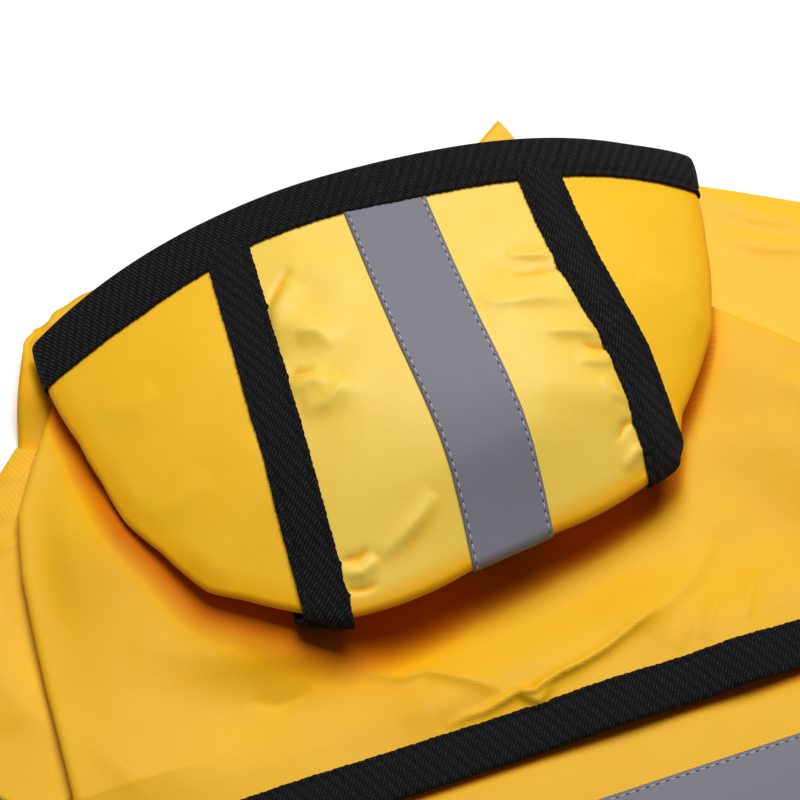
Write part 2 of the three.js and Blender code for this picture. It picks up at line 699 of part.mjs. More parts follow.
// A front panel, cut flat and lying under the coat
function frontPanel(side, edge, sleeve) {
  const curve = planCurve(sleeve.armhole);
  const shape = new THREE.Shape();
  const points = edge.map((p) => ({ x: p.x === 0 ? side * (FRONT_GAP / 2) : p.x, y: p.y }));
  steps(0, 1, ARMHOLE_STEPS).forEach((t) => {
    const p = curve(t);
    points.push({ x: p.x - side * ARMHOLE_GAP, y: p.y + (t === 0 ? ARMHOLE_GAP : 0) });
  });
  const foot = points[points.length - 1];
  const heel = sleeve.cuffBack;
  const heelY = lerp(foot.y, heel.y, HEEL_SHARE) - HEEL_DROP;
  points.push({ x: foot.x, y: foot.y - FOOT_DROP });
  points.push({ x: lerp(foot.x, heel.x, HEEL_SHARE), y: heelY });
  FRONT_SIDE.forEach((p) => points.push({ x: side * Math.max(p.x, FRONT_GAP / 2), y: p.y }));
  points.forEach((p, i) => (i ? shape.lineTo(p.x, p.y) : shape.moveTo(p.x, p.y)));
  return new THREE.ExtrudeGeometry(shape, { depth: CLOTH, bevelEnabled: false });
}

// Named meshes, in nested groups
function piece(name, geometry, finish) {
  const mesh = new THREE.Mesh(geometry, new THREE.MeshStandardMaterial(finish));
  mesh.name = name;
  return mesh;
}

const hood = new THREE.Group();
hood.add(
  piece("hood_gusset", hoodGusset(), YELLOW),
  piece("hood_side_left", hoodSidePanel(-1), YELLOW),
  piece("hood_side_right", hoodSidePanel(1), YELLOW),
  piece("hood_tape_left", hoodTape((y) => seamX(-1, y), TAPE_WIDTH, TAPE, 2), BLACK),
  piece("hood_tape_right", hoodTape((y) => seamX(1, y), TAPE_WIDTH, TAPE, 2), BLACK),
  piece("hood_reflector", hoodTape(() => STRIP_MIDDLE_X, BAND_WIDTH, REFLECTIVE, 4), GREY),
  piece("hood_binding", hoodBinding(), BLACK),
);

const body = new THREE.Group();
body.add(
  piece("yoke", yoke(), YELLOW),
  piece("yoke_binding", yokeBinding(), BLACK),
  piece("back_panel", backPanel(), YELLOW),
  piece("back_reflector", backReflector(), GREY),
  piece("hem_binding", hemBinding(), BLACK),
  piece("front_left", frontPanel(-1, FRONT_EDGE_LEFT, SLEEVE_LEFT), YELLOW),
  piece("front_right", frontPanel(1, FRONT_EDGE_RIGHT, SLEEVE_RIGHT), YELLOW),
);

const sleeves = new THREE.Group();
sleeves.add(
  piece("sleeve_left", sleeveTube(SLEEVE_LEFT), YELLOW),
  piece("sleeve_right", sleeveTube(SLEEVE_RIGHT), YELLOW),
  piece("cuff_binding_left", cuffBinding(SLEEVE_LEFT), BLACK),
  piece("cuff_binding_right", cuffBinding(SLEEVE_RIGHT), BLACK),
);

const raincoat = new THREE.Group();
raincoat.add(hood, body, sleeves);

// The origin goes to the middle of the garment, on the surface it lies on
const extent = new THREE.Box3().setFromObject(raincoat);
const middle = extent.getCenter(new THREE.Vector3());
raincoat.position.set(-middle.x, -middle.y, 0);

const part = new THREE.Group();
part.add(raincoat);

export default part;
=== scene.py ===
import bmesh
import bpy
import math
import numpy as np
from mathutils import Matrix, Vector


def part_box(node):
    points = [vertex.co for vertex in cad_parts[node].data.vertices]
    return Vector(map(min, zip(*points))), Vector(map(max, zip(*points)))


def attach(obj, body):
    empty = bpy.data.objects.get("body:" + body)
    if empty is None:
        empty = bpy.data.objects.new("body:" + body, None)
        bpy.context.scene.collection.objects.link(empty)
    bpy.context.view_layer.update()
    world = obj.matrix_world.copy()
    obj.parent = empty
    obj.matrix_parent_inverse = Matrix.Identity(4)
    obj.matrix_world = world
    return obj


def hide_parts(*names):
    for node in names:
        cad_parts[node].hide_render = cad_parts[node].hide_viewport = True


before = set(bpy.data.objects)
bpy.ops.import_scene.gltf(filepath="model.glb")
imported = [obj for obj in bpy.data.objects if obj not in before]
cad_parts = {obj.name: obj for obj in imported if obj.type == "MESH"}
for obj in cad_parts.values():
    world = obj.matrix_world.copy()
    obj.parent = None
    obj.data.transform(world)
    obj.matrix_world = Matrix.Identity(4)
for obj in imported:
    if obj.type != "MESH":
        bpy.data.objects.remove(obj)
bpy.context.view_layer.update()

# A dog raincoat laid flat, back upward, its hood folded back.
# Shapes are worked out in millimetres about the middle of the hood and moved to the frame at the end.
MM = 0.001
FRONT_HEM_Y = -200
FRONT_GAP = 0.3
front_low, front_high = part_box("front_left")
COAT_MOVED = np.array([front_high.x / MM + FRONT_GAP / 2, front_low.y / MM - FRONT_HEM_Y, 0])

# Cloth and tape
CLOTH = 0.5
TAPE = 0.8
REFLECTIVE = 0.35
TAPE_WIDTH = 12.5
BAND_WIDTH = 25

# Hood
HOOD_X = -6
HOOD_Y = 38
HOOD_SLOPE_LEFT = 2
HOOD_SLOPE_RIGHT = 3.2
HOOD_CROWN = 40
HOOD_BRIM_DROP = 3.5
BRIM_TOP = 70
# Curve of the brim in plan, falling powers of x, and the width of its tape along it
BRIM_CURVE = [0.38, -3.85, -0.16, -11.47, -3.89, 69.4]
BRIM_TAPE = [
    (-110, 15), (-96, 16.5), (-78, 17), (-56, 15.5), (-42, 13.6), (-12, 13.6), (6, 14.8), (42, 14.8),
    (72, 13.6), (96, 12.6),
]
HOOD_LIP_Y = 36
SEAM_START_Y = 57
HOOD_CLEARANCE = 2.4
# Fall of the cloth beneath the folded edge, for each millimetre back from it
HOOD_UNDERCUT = 1.3
# The lip beneath the mouth curves up to the brim at its two ends
LIP_REACH_LEFT = 104
LIP_REACH_RIGHT = 103
LIP_CURVE = 6
BRIM_FLARE = 2.6
BRIM_OVERLAP = 1.5
# The dome of the crown
DOME_RISE = 4.5
DOME_X = 5
DOME_Y = -20
DOME_HALF_WIDTH = 50
DOME_HALF_LENGTH = 32
# A side panel: lines from seam to folded edge, points on one layer, the mouth's share of the lines
SIDE_LINES = 110
SIDE_POINTS = 56
SIDE_FOLD_POINTS = 10
SIDE_MOUTH = 0.14
SIDE_FOOT_Y = -48.0
SIDE_FOOT_RISE = 6

# Tapes over the seams, left -1 and right 1: their rows over the hood, round the fold and beneath,
# and how each foot hangs below the fold and spreads, over which rows
SEAM_TAPE_SHARE = 1.06
SEAM_TAPE_ROWS = (260, 40, 50)
FOOT_UNDERCUT = {-1: 3.5, 1: 1.3}
FOOT_FLARE = {-1: 2, 1: 0}
FOOT_FLARE_ROWS = (268, 296)
FOOT_DROP = {-1: 2.1, 1: 0}
FOOT_DROP_ROWS = (215, 262)

# The seams and the middle of the strip: y, x
SEAMS = {
    -1: [(-70, -55.4), (-50, -53.6), (60, -47.6)],
    1: [(-70, 52.4), (-52, 52.5), (-38, 53.1), (-24, 53.4), (-12, 53), (-4, 51.8), (4, 50.4), (17, 48.9),
        (35, 48.2), (60, 48.8)],
}
STRIP_PATH = [
    (-66, 0.6), (-58, 1.3), (-46, 2.5), (-34, 3.2), (-24, 3.2), (-12, 2.5), (6, 1.4), (29, 1), (60, 1),
]

# The folded edge of the hood in plan, from the right side of its mouth round to the left
HOOD_OUTLINE = [
    (97.5, 38), (93.5, 22), (87, 2), (84, -6), (78, -14.5), (72, -22), (64, -31), (56, -46), (44.5, -50),
    (34, -53.2), (15, -56), (1, -58), (-12.5, -59.5), (-34.5, -62.5), (-48, -62), (-58, -57.5), (-66, -52.5),
    (-75, -46), (-84, -40), (-93, -23.5), (-100, -11), (-103, 4), (-106, 19), (-110, 38),
]
# Angle round the folded edge, the height of its middle and its radius
HOOD_EDGE = [
    (0, 16.5, 1.5), (35, 17.5, 1.5), (60, 20.5, 1.7), (90, 22, 1.6),
    (118, 20.5, 1.6), (140, 16.5, 1.4), (160, 14.5, 1.3), (180, 14.2, 1.5),
]

# Yoke: y, left edge, right edge, how much its sides stand up, how far they return beneath
YOKE_NECK_Y = 40
YOKE_END_Y = -111.3
YOKE_SIDE_HEIGHT = 7
YOKE_LIES_AT = 2.4
YOKE_FOLD = 2
YOKE_SIDES = [
    (-112, -139, 139, 0, 1.5), (-98, -138, 138.4, 0, 1.5), (-85, -137, 137.4, 3.6, 1.5),
    (-68, -136.4, 136, 3.6, 3), (-50, -136, 133, 2.3, 12), (-32, -135, 125, 1.9, 14),
    (-14, -133.6, 110, 1.9, 14), (5, -130, 91, 1.9, 14), (22, -120.5, 78, 1.9, 14), (40, -109, 66, 1.9, 14),
]

# Reach of the painted shadow on the yoke under the hood's folded edge, by the angle round it
HOOD_SHADE_REACH = [
    (0, 4.5), (45, 7), (70, 12), (95, 19), (108, 28), (118, 30), (130, 22), (145, 17), (165, 13), (180, 7),
]
# The left end of the hood's edge, over the front panel, round which a small shadow is painted on the panel
HOOD_TIP = (-110, 46)
# Painted shade on the cloth at the hood's fold, and painted shade in its dips, full in a dip as deep as
# SUNK_FULL
FOLD_SHADE = 0.55
DIP_SHADE = 0.5
SUNK_FULL = 0.6

# Soft folds: a line from x0, y0 to x1, y1, its height and its half width
YOKE_FOLDS = [
    (-34, -90, 29, -81, 1.8, 9), (29, -81, 62, -60, 1.6, 11), (-30, -97, 30, -88, -0.5, 4),
    (-44, -74, -20, -80, 1.2, 9), (16, -102, 18, -128, 1.8, 18), (54, -96, 55, -128, 2.2, 12),
    (-100, -48, -66, -62, 1.6, 16), (70, -34, 100, -52, 1.8, 14), (-76, -98, -74, -126, 0.9, 14),
    (-66, -57, -102, -15, 6.6, 20),
]

# Rear panel
BACK_TOP_Y = -90
BACK_HALF_WIDTH = 126
BACK_SIDE_END_Y = -232
BACK_TAIL = 90
BACK_FULLNESS = 2.6
BACK_BAND_Y = -129.4
BACK_REST = 1.45
BACK_HELD = 4.2
BACK_FOLDS = [
    (-96, -150, -40, -190, 1.1, 11), (30, -176, 84, -160, 1.2, 12), (-30, -230, 36, -268, 2, 13),
    (-104, -232, -84, -276, 2.2, 12), (92, -226, 82, -280, 2, 12),
]
# Creases: a line of points, its height, and how far it spreads to its left and to its right
BACK_CREASES = [
    ([(-70, -166), (-52, -172), (-38, -181), (-20, -186)], 1.9, 6, 1.8),
    ([(26, -196), (44, -186), (66, -182), (84, -170)], 1.7, 6, 2),
    ([(-14, -236), (6, -246), (30, -250)], 1.6, 5, 1.6),
    ([(-92, -214), (-84, -232), (-72, -246)], 1.4, 5, 2.2),
    ([(96, -208), (88, -226), (78, -240)], 1.3, 5, 2.2),
]

# Folded tapes: rows on the upper face, and the line of stitches inside the edge
TAPE_FACE_ROWS = 21
STITCH_INSET = 2.0

# Sleeves: the armhole from its front to its back, and the two ends of the cuff
SLEEVES = {
    "left": ([(-124, 30), (-131, 10), (-130, -15), (-122, -42), (-112, -62)], (-190.7, -36.6), (-145, -88)),
    "right": ([(97, 55), (97, 30), (101, 5), (107, -22), (113, -50)], (192, 1), (150.5, -74)),
}
SLEEVE_COLUMNS = 64
SLEEVE_FOLD_SHARE = 0.02
SLEEVE_FOLD = 1.1
SLEEVE_PUFF = 2.4
SLEEVE_TUCK = 17
CUFF_RUN = 14
SLEEVE_CREASES = [
    ([(106, 45), (112, 38), (117, 33), (122, 30), (134, 23)], 1.9, 5, 2.0),
    ([(104, 30), (112, 24), (120, 20), (134, 17)], 1.5, 6, 2.6),
    ([(128, -22), (144, -18), (158, -24)], 1.1, 5, 2.2),
    ([(142, -48), (154, -42), (166, -46)], 1.0, 4, 2),
    ([(-134, 20), (-129, 20.5), (-122, 21.5)], 0.9, 1.4, 0.8),
    ([(-137, 8), (-132, 8.5), (-126, 9)], 0.8, 1.4, 0.8),
    ([(-139, -2), (-134, -1), (-129, 0)], 0.9, 1.2, 0.7),
    ([(-142, -14), (-156, -22), (-166, -34)], 1.1, 5, 2.4),
    ([(-140, -52), (-152, -56), (-160, -62)], 1.0, 4, 2),
]


def span(at, low, high):
    """Goes softly from 0 at low to 1 at high."""
    t = np.clip((at - low) / (high - low), 0, 1)
    return t * t * (3 - 2 * t)


def column(table, at, which):
    """Reads one column of a table whose first column rises."""
    return np.interp(at, [row[0] for row in table], [row[which] for row in table])


def soft_folds(table, x, y):
    """Height that rounded ridges and troughs add, each along its own line."""
    height = np.zeros(np.broadcast(x, y).shape)
    for x0, y0, x1, y1, rise, width in table:
        run_x, run_y = x1 - x0, y1 - y0
        along = np.clip(((x - x0) * run_x + (y - y0) * run_y) / (run_x**2 + run_y**2), 0, 1)
        away = np.hypot(x - x0 - along * run_x, y - y0 - along * run_y)
        height = height + rise * np.exp(-((away / width) ** 2))
    return height


def crease(points, rise, gentle, steep, x, y):
    """A pinched ridge along a line of points: gentle to its left, steep to its right, gone at both ends."""
    shape = np.broadcast(x, y).shape
    nearest = np.full(shape, 1e9)
    height = np.zeros(shape)
    lengths = [math.dist(a, b) for a, b in zip(points, points[1:])]
    start = 0
    for (x0, y0), (x1, y1), length in zip(points, points[1:], lengths):
        run_x, run_y = x1 - x0, y1 - y0
        along = np.clip(((x - x0) * run_x + (y - y0) * run_y) / length**2, 0, 1)
        off_x, off_y = x - x0 - along * run_x, y - y0 - along * run_y
        away = np.hypot(off_x, off_y)
        width = np.where(run_x * off_y - run_y * off_x > 0, gentle, steep)
        share = (start + along * length) / sum(lengths)
        fade = np.sin(np.pi * np.clip(share, 0, 1)) ** 0.7
        height = np.where(away < nearest, rise * fade * np.exp(-((away / width) ** 1.4)), height)
        nearest = np.minimum(nearest, away)
        start += length
    return height


def smoothed(line, window):
    return np.convolve(np.pad(line, len(window) // 2, mode="edge"), window / window.sum(), mode="valid")


def creases(table, x, y):
    return sum(crease(line, rise, gentle, steep, x, y) for line, rise, gentle, steep in table)


# Hood shape
def hood_reach_table():
    """Distance of the folded edge from the hood's middle at each angle round it, corners softened."""
    angles = [math.degrees(math.atan2(HOOD_Y - y, x - HOOD_X)) for x, y in HOOD_OUTLINE]
    reaches = [math.hypot(x - HOOD_X, y - HOOD_Y) for x, y in HOOD_OUTLINE]
    fine = np.arange(-6, 187, 0.5)
    reach = np.interp(fine, angles, reaches)
    return fine, smoothed(reach, np.exp(-(np.arange(-4, 5) / 1.5) ** 2))


REACH_ANGLES, REACHES = hood_reach_table()


def hood_angle(x, y):
    return np.degrees(np.arctan2(np.maximum(HOOD_Y - y, 0), x - HOOD_X))


def hood_reach(x, y):
    return np.interp(hood_angle(x, y), REACH_ANGLES, REACHES)


def hood_inset(x, y):
    """0 at the hood's middle, 1 at its folded edge."""
    away = np.hypot(x - HOOD_X, np.maximum(HOOD_Y - y, 0))
    return np.minimum(away / hood_reach(x, y), 1)


def hood_line_y(x, inset):
    """The y at which a line down the hood, at x, comes to one inset."""
    y = np.full(np.broadcast(x, inset).shape, -60.0)
    for _ in range(12):
        radius = inset * hood_reach(x, y)
        y = HOOD_Y - np.sqrt(np.maximum(radius**2 - (x - HOOD_X) ** 2, 0))
    return y


def hood_edge(x, y):
    angle = hood_angle(x, y)
    return column(HOOD_EDGE, angle, 1), column(HOOD_EDGE, angle, 2)


HOOD_FOLDS = [
    # gusset beside the left tape and beside the right tape
    (-38, 30, -34, 20, 1.1, 5), (-40, 4, -30, -2, 0.9, 5), (-30, 44, -20, 34, 0.8, 7),
    (26, 22, 38, 20, -0.7, 5), (24, 2, 40, -4, 0.8, 5), (26, -20, 40, -26, 0.6, 5),
    # side panels
    (-96, -4, -66, 22, 0.8, 9), (-84, -34, -62, -10, 1, 8), (70, 30, 80, -4, 0.8, 8),
]
HOOD_CREASES = [
    ([(-45, 25), (-43.5, 31), (-40, 36), (-36, 40), (-32, 43.5)], -1.3, 1.0, 1.5),
    ([(-43, 22), (-41, 30), (-37, 34), (-32, 38)], 1.5, 3.5, 3.5),
    ([(-44, 17), (-38, 21), (-32, 19), (-28.5, 12)], 1.9, 5, 2.6),
    ([(-46, 7), (-41, 9), (-36, 7.5)], -1.1, 1.2, 1.2), ([(-45, 3), (-39, 4.5), (-34, 2)], 1.2, 2.4, 1.4),
    ([(-43, -3), (-36, -4), (-28, 1)], 1.8, 5, 2.6),
    ([(-47, -47), (-42, -48), (-38, -46.5)], -1.4, 1.1, 1.1),
    ([(-48, -51), (-42, -52.5), (-36, -50)], 1.6, 1.8, 1.2),
    ([(-48, -55), (-43, -56.5), (-38, -56)], -1.3, 1.0, 1.0),
    ([(-36, -50), (-30, -48), (-22, -44), (-15, -39)], 1.9, 3.6, 1.7),
    ([(29, 26), (35, 24), (43, 22)], 1.3, 1.8, 1.2), ([(28, 19), (34, 18), (43, 17.5)], -1.0, 1.2, 1.2),
    ([(15, 12), (24, 9), (34, 8), (44, 5)], 2.1, 5.5, 2.4), ([(30, -3), (38, -5), (48, -7)], 1.6, 2.6, 1.4),
    ([(40, -9), (44, -10.5), (49, -11)], -1.2, 1.1, 1.1),
    ([(36, -14), (43, -15.5), (49, -15)], 1.4, 1.8, 1.1), ([(41, -20), (44, -26), (50, -30)], 1.3, 2, 1.2),
    ([(40, -38), (44, -34), (50, -33)], -1.4, 1.1, 1.1), ([(40, -46), (45, -42), (51, -41)], 1.7, 1.8, 1.1),
    ([(43, -50), (46, -47), (51, -47)], -1.4, 1.0, 1.0),
    ([(-98, 24), (-88, 20), (-80, 24)], 0.8, 5, 4), ([(66, 12), (76, 4), (84, 8)], 0.8, 5, 4),
    ([(-94, -12), (-84, -14), (-74, -8)], 0.9, 6, 4),
]


def hood_height(x, y, layer, undercut=HOOD_UNDERCUT):
    """Height of the hood's upper cloth, layer 1, or of what lies under it, layer -1."""
    inset = hood_inset(x, y)
    middle, radius = hood_edge(x, y)
    away = np.minimum((1 - inset) * hood_reach(x, y) / radius, 1)
    turn = radius * np.sqrt(np.maximum(1 - (1 - away) ** 2, 0))
    slope = HOOD_SLOPE_LEFT + (HOOD_SLOPE_RIGHT - HOOD_SLOPE_LEFT) * span(x, -45, 30)
    crown = HOOD_CROWN - HOOD_BRIM_DROP * span(y, 0, BRIM_TOP)
    rise = 1 - inset**slope
    folds = (soft_folds(HOOD_FOLDS, x, y) + creases(HOOD_CREASES, x, y)) * span(1 - inset, 0.0, 0.06)
    folds = folds * span(np.abs(x - strip_x(y)), BAND_WIDTH / 2, BAND_WIDTH / 2 + 5)
    from_seam = np.minimum(np.abs(x - seam_x(-1, y)), np.abs(x - seam_x(1, y)))
    folds = folds * (0.3 + 0.7 * span(from_seam, 4.5, 7.5))
    from_dome = ((x - DOME_X) / DOME_HALF_WIDTH) ** 2 + ((y - DOME_Y) / DOME_HALF_LENGTH) ** 2
    dome = DOME_RISE * np.exp(-from_dome)
    top = middle + turn + (crown - middle - radius) * rise + folds + dome * span(1 - inset, 0, 0.3)
    floor = yoke_height(x, y) + HOOD_CLEARANCE
    beyond = np.maximum((1 - inset) * hood_reach(x, y) - radius, 0)
    over_floor = middle - turn - undercut * beyond - floor
    under = floor + (over_floor + np.sqrt(over_floor**2 + 4)) / 2
    return np.where(layer > 0, top, under)


def brim_y(x):
    return np.polyval(BRIM_CURVE, np.asarray(x) / 100)


def lip_y(x):
    reach = np.where(x < HOOD_X, LIP_REACH_LEFT, LIP_REACH_RIGHT)
    across = np.clip(np.abs(x - HOOD_X) / reach, 0, 1)
    return HOOD_LIP_Y + (brim_y(x) - HOOD_LIP_Y) * across**LIP_CURVE


def under_brim(x):
    """Where the strip and the seam tapes begin, under the tape of the brim."""
    return brim_y(x) - TAPE_WIDTH + BRIM_OVERLAP


def seam_x(side, y):
    return column(SEAMS[side], y, 1)


def strip_x(y):
    return column(STRIP_PATH, y, 1)


def hood_down(x_at, from_y, under_y, counts, undercut=HOOD_UNDERCUT):
    """Points down the hood: over the top, round the fold, back beneath. Each column is one line."""
    top_count, fold_count, under_count = counts
    foot_x = x_at(-60.0)
    _, radius = hood_edge(foot_x, hood_line_y(foot_x, 1.0))
    reach = hood_reach(foot_x, hood_line_y(foot_x, 1.0))
    start = hood_line_y(foot_x, 1 - radius / reach)
    top_y = from_y(x_at(from_y(x_at(SEAM_START_Y))))
    rows_y = [top_y + (start - top_y) * t for t in np.linspace(0, 1, top_count)]
    layers = [1] * top_count
    for angle in np.radians(np.linspace(90, -90, fold_count)[1:]):
        rows_y.append(hood_line_y(foot_x, 1 - radius / reach * (1 - math.cos(angle))))
        layers.append(1 if angle >= 0 else -1)
    end_y = under_y(foot_x)
    for t in np.linspace(0, 1, under_count)[1:]:
        rows_y.append(start + (end_y - start) * t)
        layers.append(-1)
    y = np.array(rows_y)
    layer = np.array(layers)[:, None]
    x = x_at(y)
    return np.stack([x, y, hood_height(x, y, layer, undercut)], axis=2)


def hood_gusset():
    across = np.linspace(0, 1, 110)
    x_at = lambda y: seam_x(-1, y) + (seam_x(1, y) - seam_x(-1, y)) * across
    return hood_down(x_at, brim_y, lip_y, (150, 24, 40))


def hood_strip():
    across = np.linspace(-BAND_WIDTH / 2, BAND_WIDTH / 2, 22)
    x_at = lambda y: strip_x(y) + across
    end = lambda x: hood_line_y(x, 1.0) + 22
    return laid_on(hood_down(x_at, under_brim, end, (130, 22, 12)), REFLECTIVE)


def hood_side(side):
    """Lines from the seam to the folded edge and back beneath, from the mouth down to the seam's foot."""
    foot_x = seam_x(side, SIDE_FOOT_Y)
    foot_y = float(hood_line_y(foot_x, 1.0))
    foot_angle = math.degrees(math.atan2(HOOD_Y - foot_y, foot_x - HOOD_X))
    edge_angle = 0 if side > 0 else 180
    rings = []
    for t in np.linspace(0, 1, SIDE_LINES):
        if t <= SIDE_MOUTH:
            edge_x = HOOD_X + side * np.interp(edge_angle, REACH_ANGLES, REACHES)
            edge_y = brim_y(edge_x) + (HOOD_Y - brim_y(edge_x)) * t / SIDE_MOUTH
        else:
            past_mouth = (t - SIDE_MOUTH) / (1 - SIDE_MOUTH)
            turn = math.radians(edge_angle + (foot_angle - edge_angle) * past_mouth)
            reach = np.interp(math.degrees(turn), REACH_ANGLES, REACHES)
            edge_x = HOOD_X + reach * math.cos(turn)
            edge_y = HOOD_Y - reach * math.sin(turn)
        radius = hood_edge(edge_x, edge_y)[1]
        ring = []
        for layer in (1, -1):
            start = brim_y if layer > 0 else lip_y
            mouth_x = seam_x(side, SEAM_START_Y)
            seam_y = start(mouth_x) + (foot_y + SIDE_FOOT_RISE - start(mouth_x)) * t
            first_x = seam_x(side, seam_y)
            length = math.hypot(edge_x - first_x, edge_y - seam_y)
            fold_part = min(radius / length, 1)
            flat = np.linspace(0, 1 - fold_part, SIDE_POINTS)
            fold = 1 - fold_part * (1 - np.cos(np.radians(np.linspace(90, 0, SIDE_FOLD_POINTS)[1:])))
            s = np.concatenate([flat, fold])
            x = first_x + (edge_x - first_x) * s
            curve = start(x) - (start(first_x) + (start(edge_x) - start(first_x)) * s)
            y = seam_y + (edge_y - seam_y) * s + curve * (1 - t) ** 2
            line = np.stack([x, y, hood_height(x, y, layer)], axis=1)
            ring.append(line if layer > 0 else line[:-1][::-1])
        rings.append(np.concatenate(ring))
    return np.array(rings)


def hood_tape(side):
    """A tape laid along a seam, round the fold and back beneath."""
    across = np.linspace(-TAPE_WIDTH / 2, TAPE_WIDTH / 2, 26) * SEAM_TAPE_SHARE
    x_at = lambda y: seam_x(side, y) + across
    end = lambda x: hood_line_y(x, 1.0) + 24
    path = hood_down(x_at, under_brim, end, SEAM_TAPE_ROWS, FOOT_UNDERCUT[side])
    row = np.arange(len(path))[:, None]
    path[:, :, 0] -= FOOT_FLARE[side] * span(row, *FOOT_FLARE_ROWS) * np.linspace(1, 0.2, len(across))
    path[:, :, 1] -= FOOT_DROP[side] * span(row, *FOOT_DROP_ROWS)
    tape = laid_on(path, TAPE, 0.2 + tape_relief(across / SEAM_TAPE_SHARE))
    return toothed(toothed(tape)[:, ::-1])[:, ::-1]


def tape_relief(width, half=TAPE_WIDTH / 2):
    """The swell of a sewn tape across its width: soft crown, and a groove along each line of stitches."""
    return 0.25 * (1 - (width / half) ** 2) - stitch_groove(half - np.abs(width))


def toothed(tape):
    """The first edge of a tape, with the small uneven teeth of its ribs along the rows."""
    run = np.concatenate([[0], np.cumsum(np.linalg.norm(np.diff(tape[:, 0], axis=0), axis=1))])
    teeth = 0.09 * np.sin(math.tau * run / 1.9) + 0.06 * np.sin(math.tau * run / 3.1 + 1)
    teeth = teeth + 0.06 * np.sin(run * 0.7)
    out = tape[:, 0] - tape[:, 1]
    out /= np.linalg.norm(out, axis=1)[:, None]
    tape = tape.copy()
    tape[:, 0] += out * teeth[:, None]
    return tape


# Grids
def grid_normals(points, i, j):
    """Unit normals of a grid, turned so that the one in row i and column j looks up."""
    normals = np.cross(np.gradient(points, axis=1), np.gradient(points, axis=0))
    normals = normals / np.maximum(np.linalg.norm(normals, axis=2), 1e-9)[:, :, None]
    return -normals if normals[i, j, 2] < 0 else normals


def stitch_groove(inside):
    """Depth that a line of stitches presses into a tape, by the distance inside its edge."""
    return 0.45 * np.exp(-(((inside - STITCH_INSET) / 0.55) ** 2))


def laid_on(points, thickness, relief=0):
    """A strip lying on the upper face of the cloth whose middle these points are."""
    lift = CLOTH / 2 + thickness / 2 + 0.2 + np.broadcast_to(relief, points.shape[1])
    return points + grid_normals(points, 2, 2) * lift[None, :, None]


def folded_tape(panel, width=TAPE_WIDTH, inner=TAPE_WIDTH):
    """Tape folded over an edge. panel(inset) gives the line of the cloth that lies inset from its edge."""
    insets = np.concatenate([np.linspace(width, 0.8, TAPE_FACE_ROWS - 1), [0.15]])
    strip = np.array([panel(inset) for inset in insets])
    normals = grid_normals(strip, 0, strip.shape[1] // 2)
    offset = CLOTH / 2 + TAPE / 2 + 0.3
    outward = strip[-1] - strip[-3]
    outward /= np.linalg.norm(outward, axis=1)[:, None]
    half = width / 2
    relief = 0.45 * (1 - ((insets - half) / half) ** 2) - stitch_groove(width - insets)
    face = strip + normals * (offset + relief)[:, None, None]
    turn = [
        strip[-1] + normals[-1] * offset * math.cos(a) + outward * offset * math.sin(a)
        for a in np.radians([22, 45, 67, 90, 113, 135, 158])
    ]
    kept = insets[::-1] <= inner
    back = (strip - normals * offset)[::-1][kept]
    return np.swapaxes(toothed(np.swapaxes(np.concatenate([face, turn, back]), 0, 1)), 0, 1)


def hood_edge_tape():
    def end(x, inward):
        """One end of the brim: places and layers from beneath the hood, round the fold, to its top."""
        radius = inward * float(hood_edge(x, HOOD_Y)[1])
        turns = np.radians(np.linspace(-90, 90, 10))
        fold = [(x + radius * (1 - math.cos(a)), 1 if a > 0 else -1) for a in turns]
        return [(fold[0][0] + inward * t, -1) for t in (3, 1.5)] + fold

    left = end(HOOD_X - LIP_REACH_LEFT, 1)
    right = end(HOOD_X + LIP_REACH_RIGHT + 0.3, -1)[::-1]
    top = [(x, 1) for x in np.linspace(left[-1][0], right[0][0], 400)[1:-1]]
    x, layer = np.array(left + top + right).T
    edge = np.where(layer > 0, brim_y(x), lip_y(x))
    wide = column(BRIM_TAPE, x, 1) / TAPE_WIDTH

    def panel(inset):
        y = edge - inset * wide
        flare = BRIM_FLARE * span(y, HOOD_Y, 54) * span(x, 78, 97)
        return np.stack([x + flare, y, hood_height(x, y, layer)], axis=1)

    return folded_tape(panel)


# Yoke
def yoke_height(x, y):
    left, right = column(YOKE_SIDES, y, 1), column(YOKE_SIDES, y, 2)
    raised = column(YOKE_SIDES, y, 3)
    from_side = np.minimum(x - left, right - x)
    side = 1 - span(from_side, 16, 60)
    over_back = 1 - span(y, -92, -66)
    middle = YOKE_LIES_AT + (YOKE_SIDE_HEIGHT - YOKE_LIES_AT) * over_back
    folds = soft_folds(YOKE_FOLDS, x, y) * span(from_side, 4, 16)
    return middle + (YOKE_SIDE_HEIGHT + raised - middle) * side + folds


MAIN_CREASE = [
    (-32, -97), (-26, -96), (-20.5, -96.2), (-14, -95), (-10, -94), (-5.5, -95.5), (-2, -94), (4, -92.6),
    (9.5, -92), (18, -90), (26, -87), (32, -84.6), (38, -82.5),
]
YOKE_CREASES = [
    (MAIN_CREASE, 2.1, 1.4, 0.8),
    ([(x, y - 0.6) for x, y in MAIN_CREASE], 1.3, 6, 2.2),
    ([(27, -87), (40, -82), (50, -77), (62, -66)], 1.7, 7, 3.2),
    ([(-48, -74), (-39, -78.5), (-32, -79), (-26, -83), (-19, -88), (-12, -94)], 1.7, 4, 2.0),
    ([(-10, -94.5), (-5, -98.5), (0, -94.5)], 1.8, 2.2, 1.0),
    ([(-82, -71), (-73.5, -75.5), (-65, -74)], -1, 3, 2.4),
    ([(-110, -46), (-88, -57), (-60, -66), (-40, -70)], 1.5, 12, 6),
    ([(38, -97), (44, -90), (48, -82)], 0.6, 2.4, 1.5),
    ([(46, -96), (53, -87), (59, -80)], 0.7, 2.4, 1.5),
    ([(60, -94), (65, -85), (70, -79)], 0.7, 2.2, 1.5),
    ([(96, -90), (100, -76), (101, -62)], 1.1, 7, 5),
    ([(100, -24), (110, -42), (124, -58)], 1.6, 7, 4),
    ([(-128, -70), (-120, -84), (-117, -97)], 0.6, 6, 4),
]


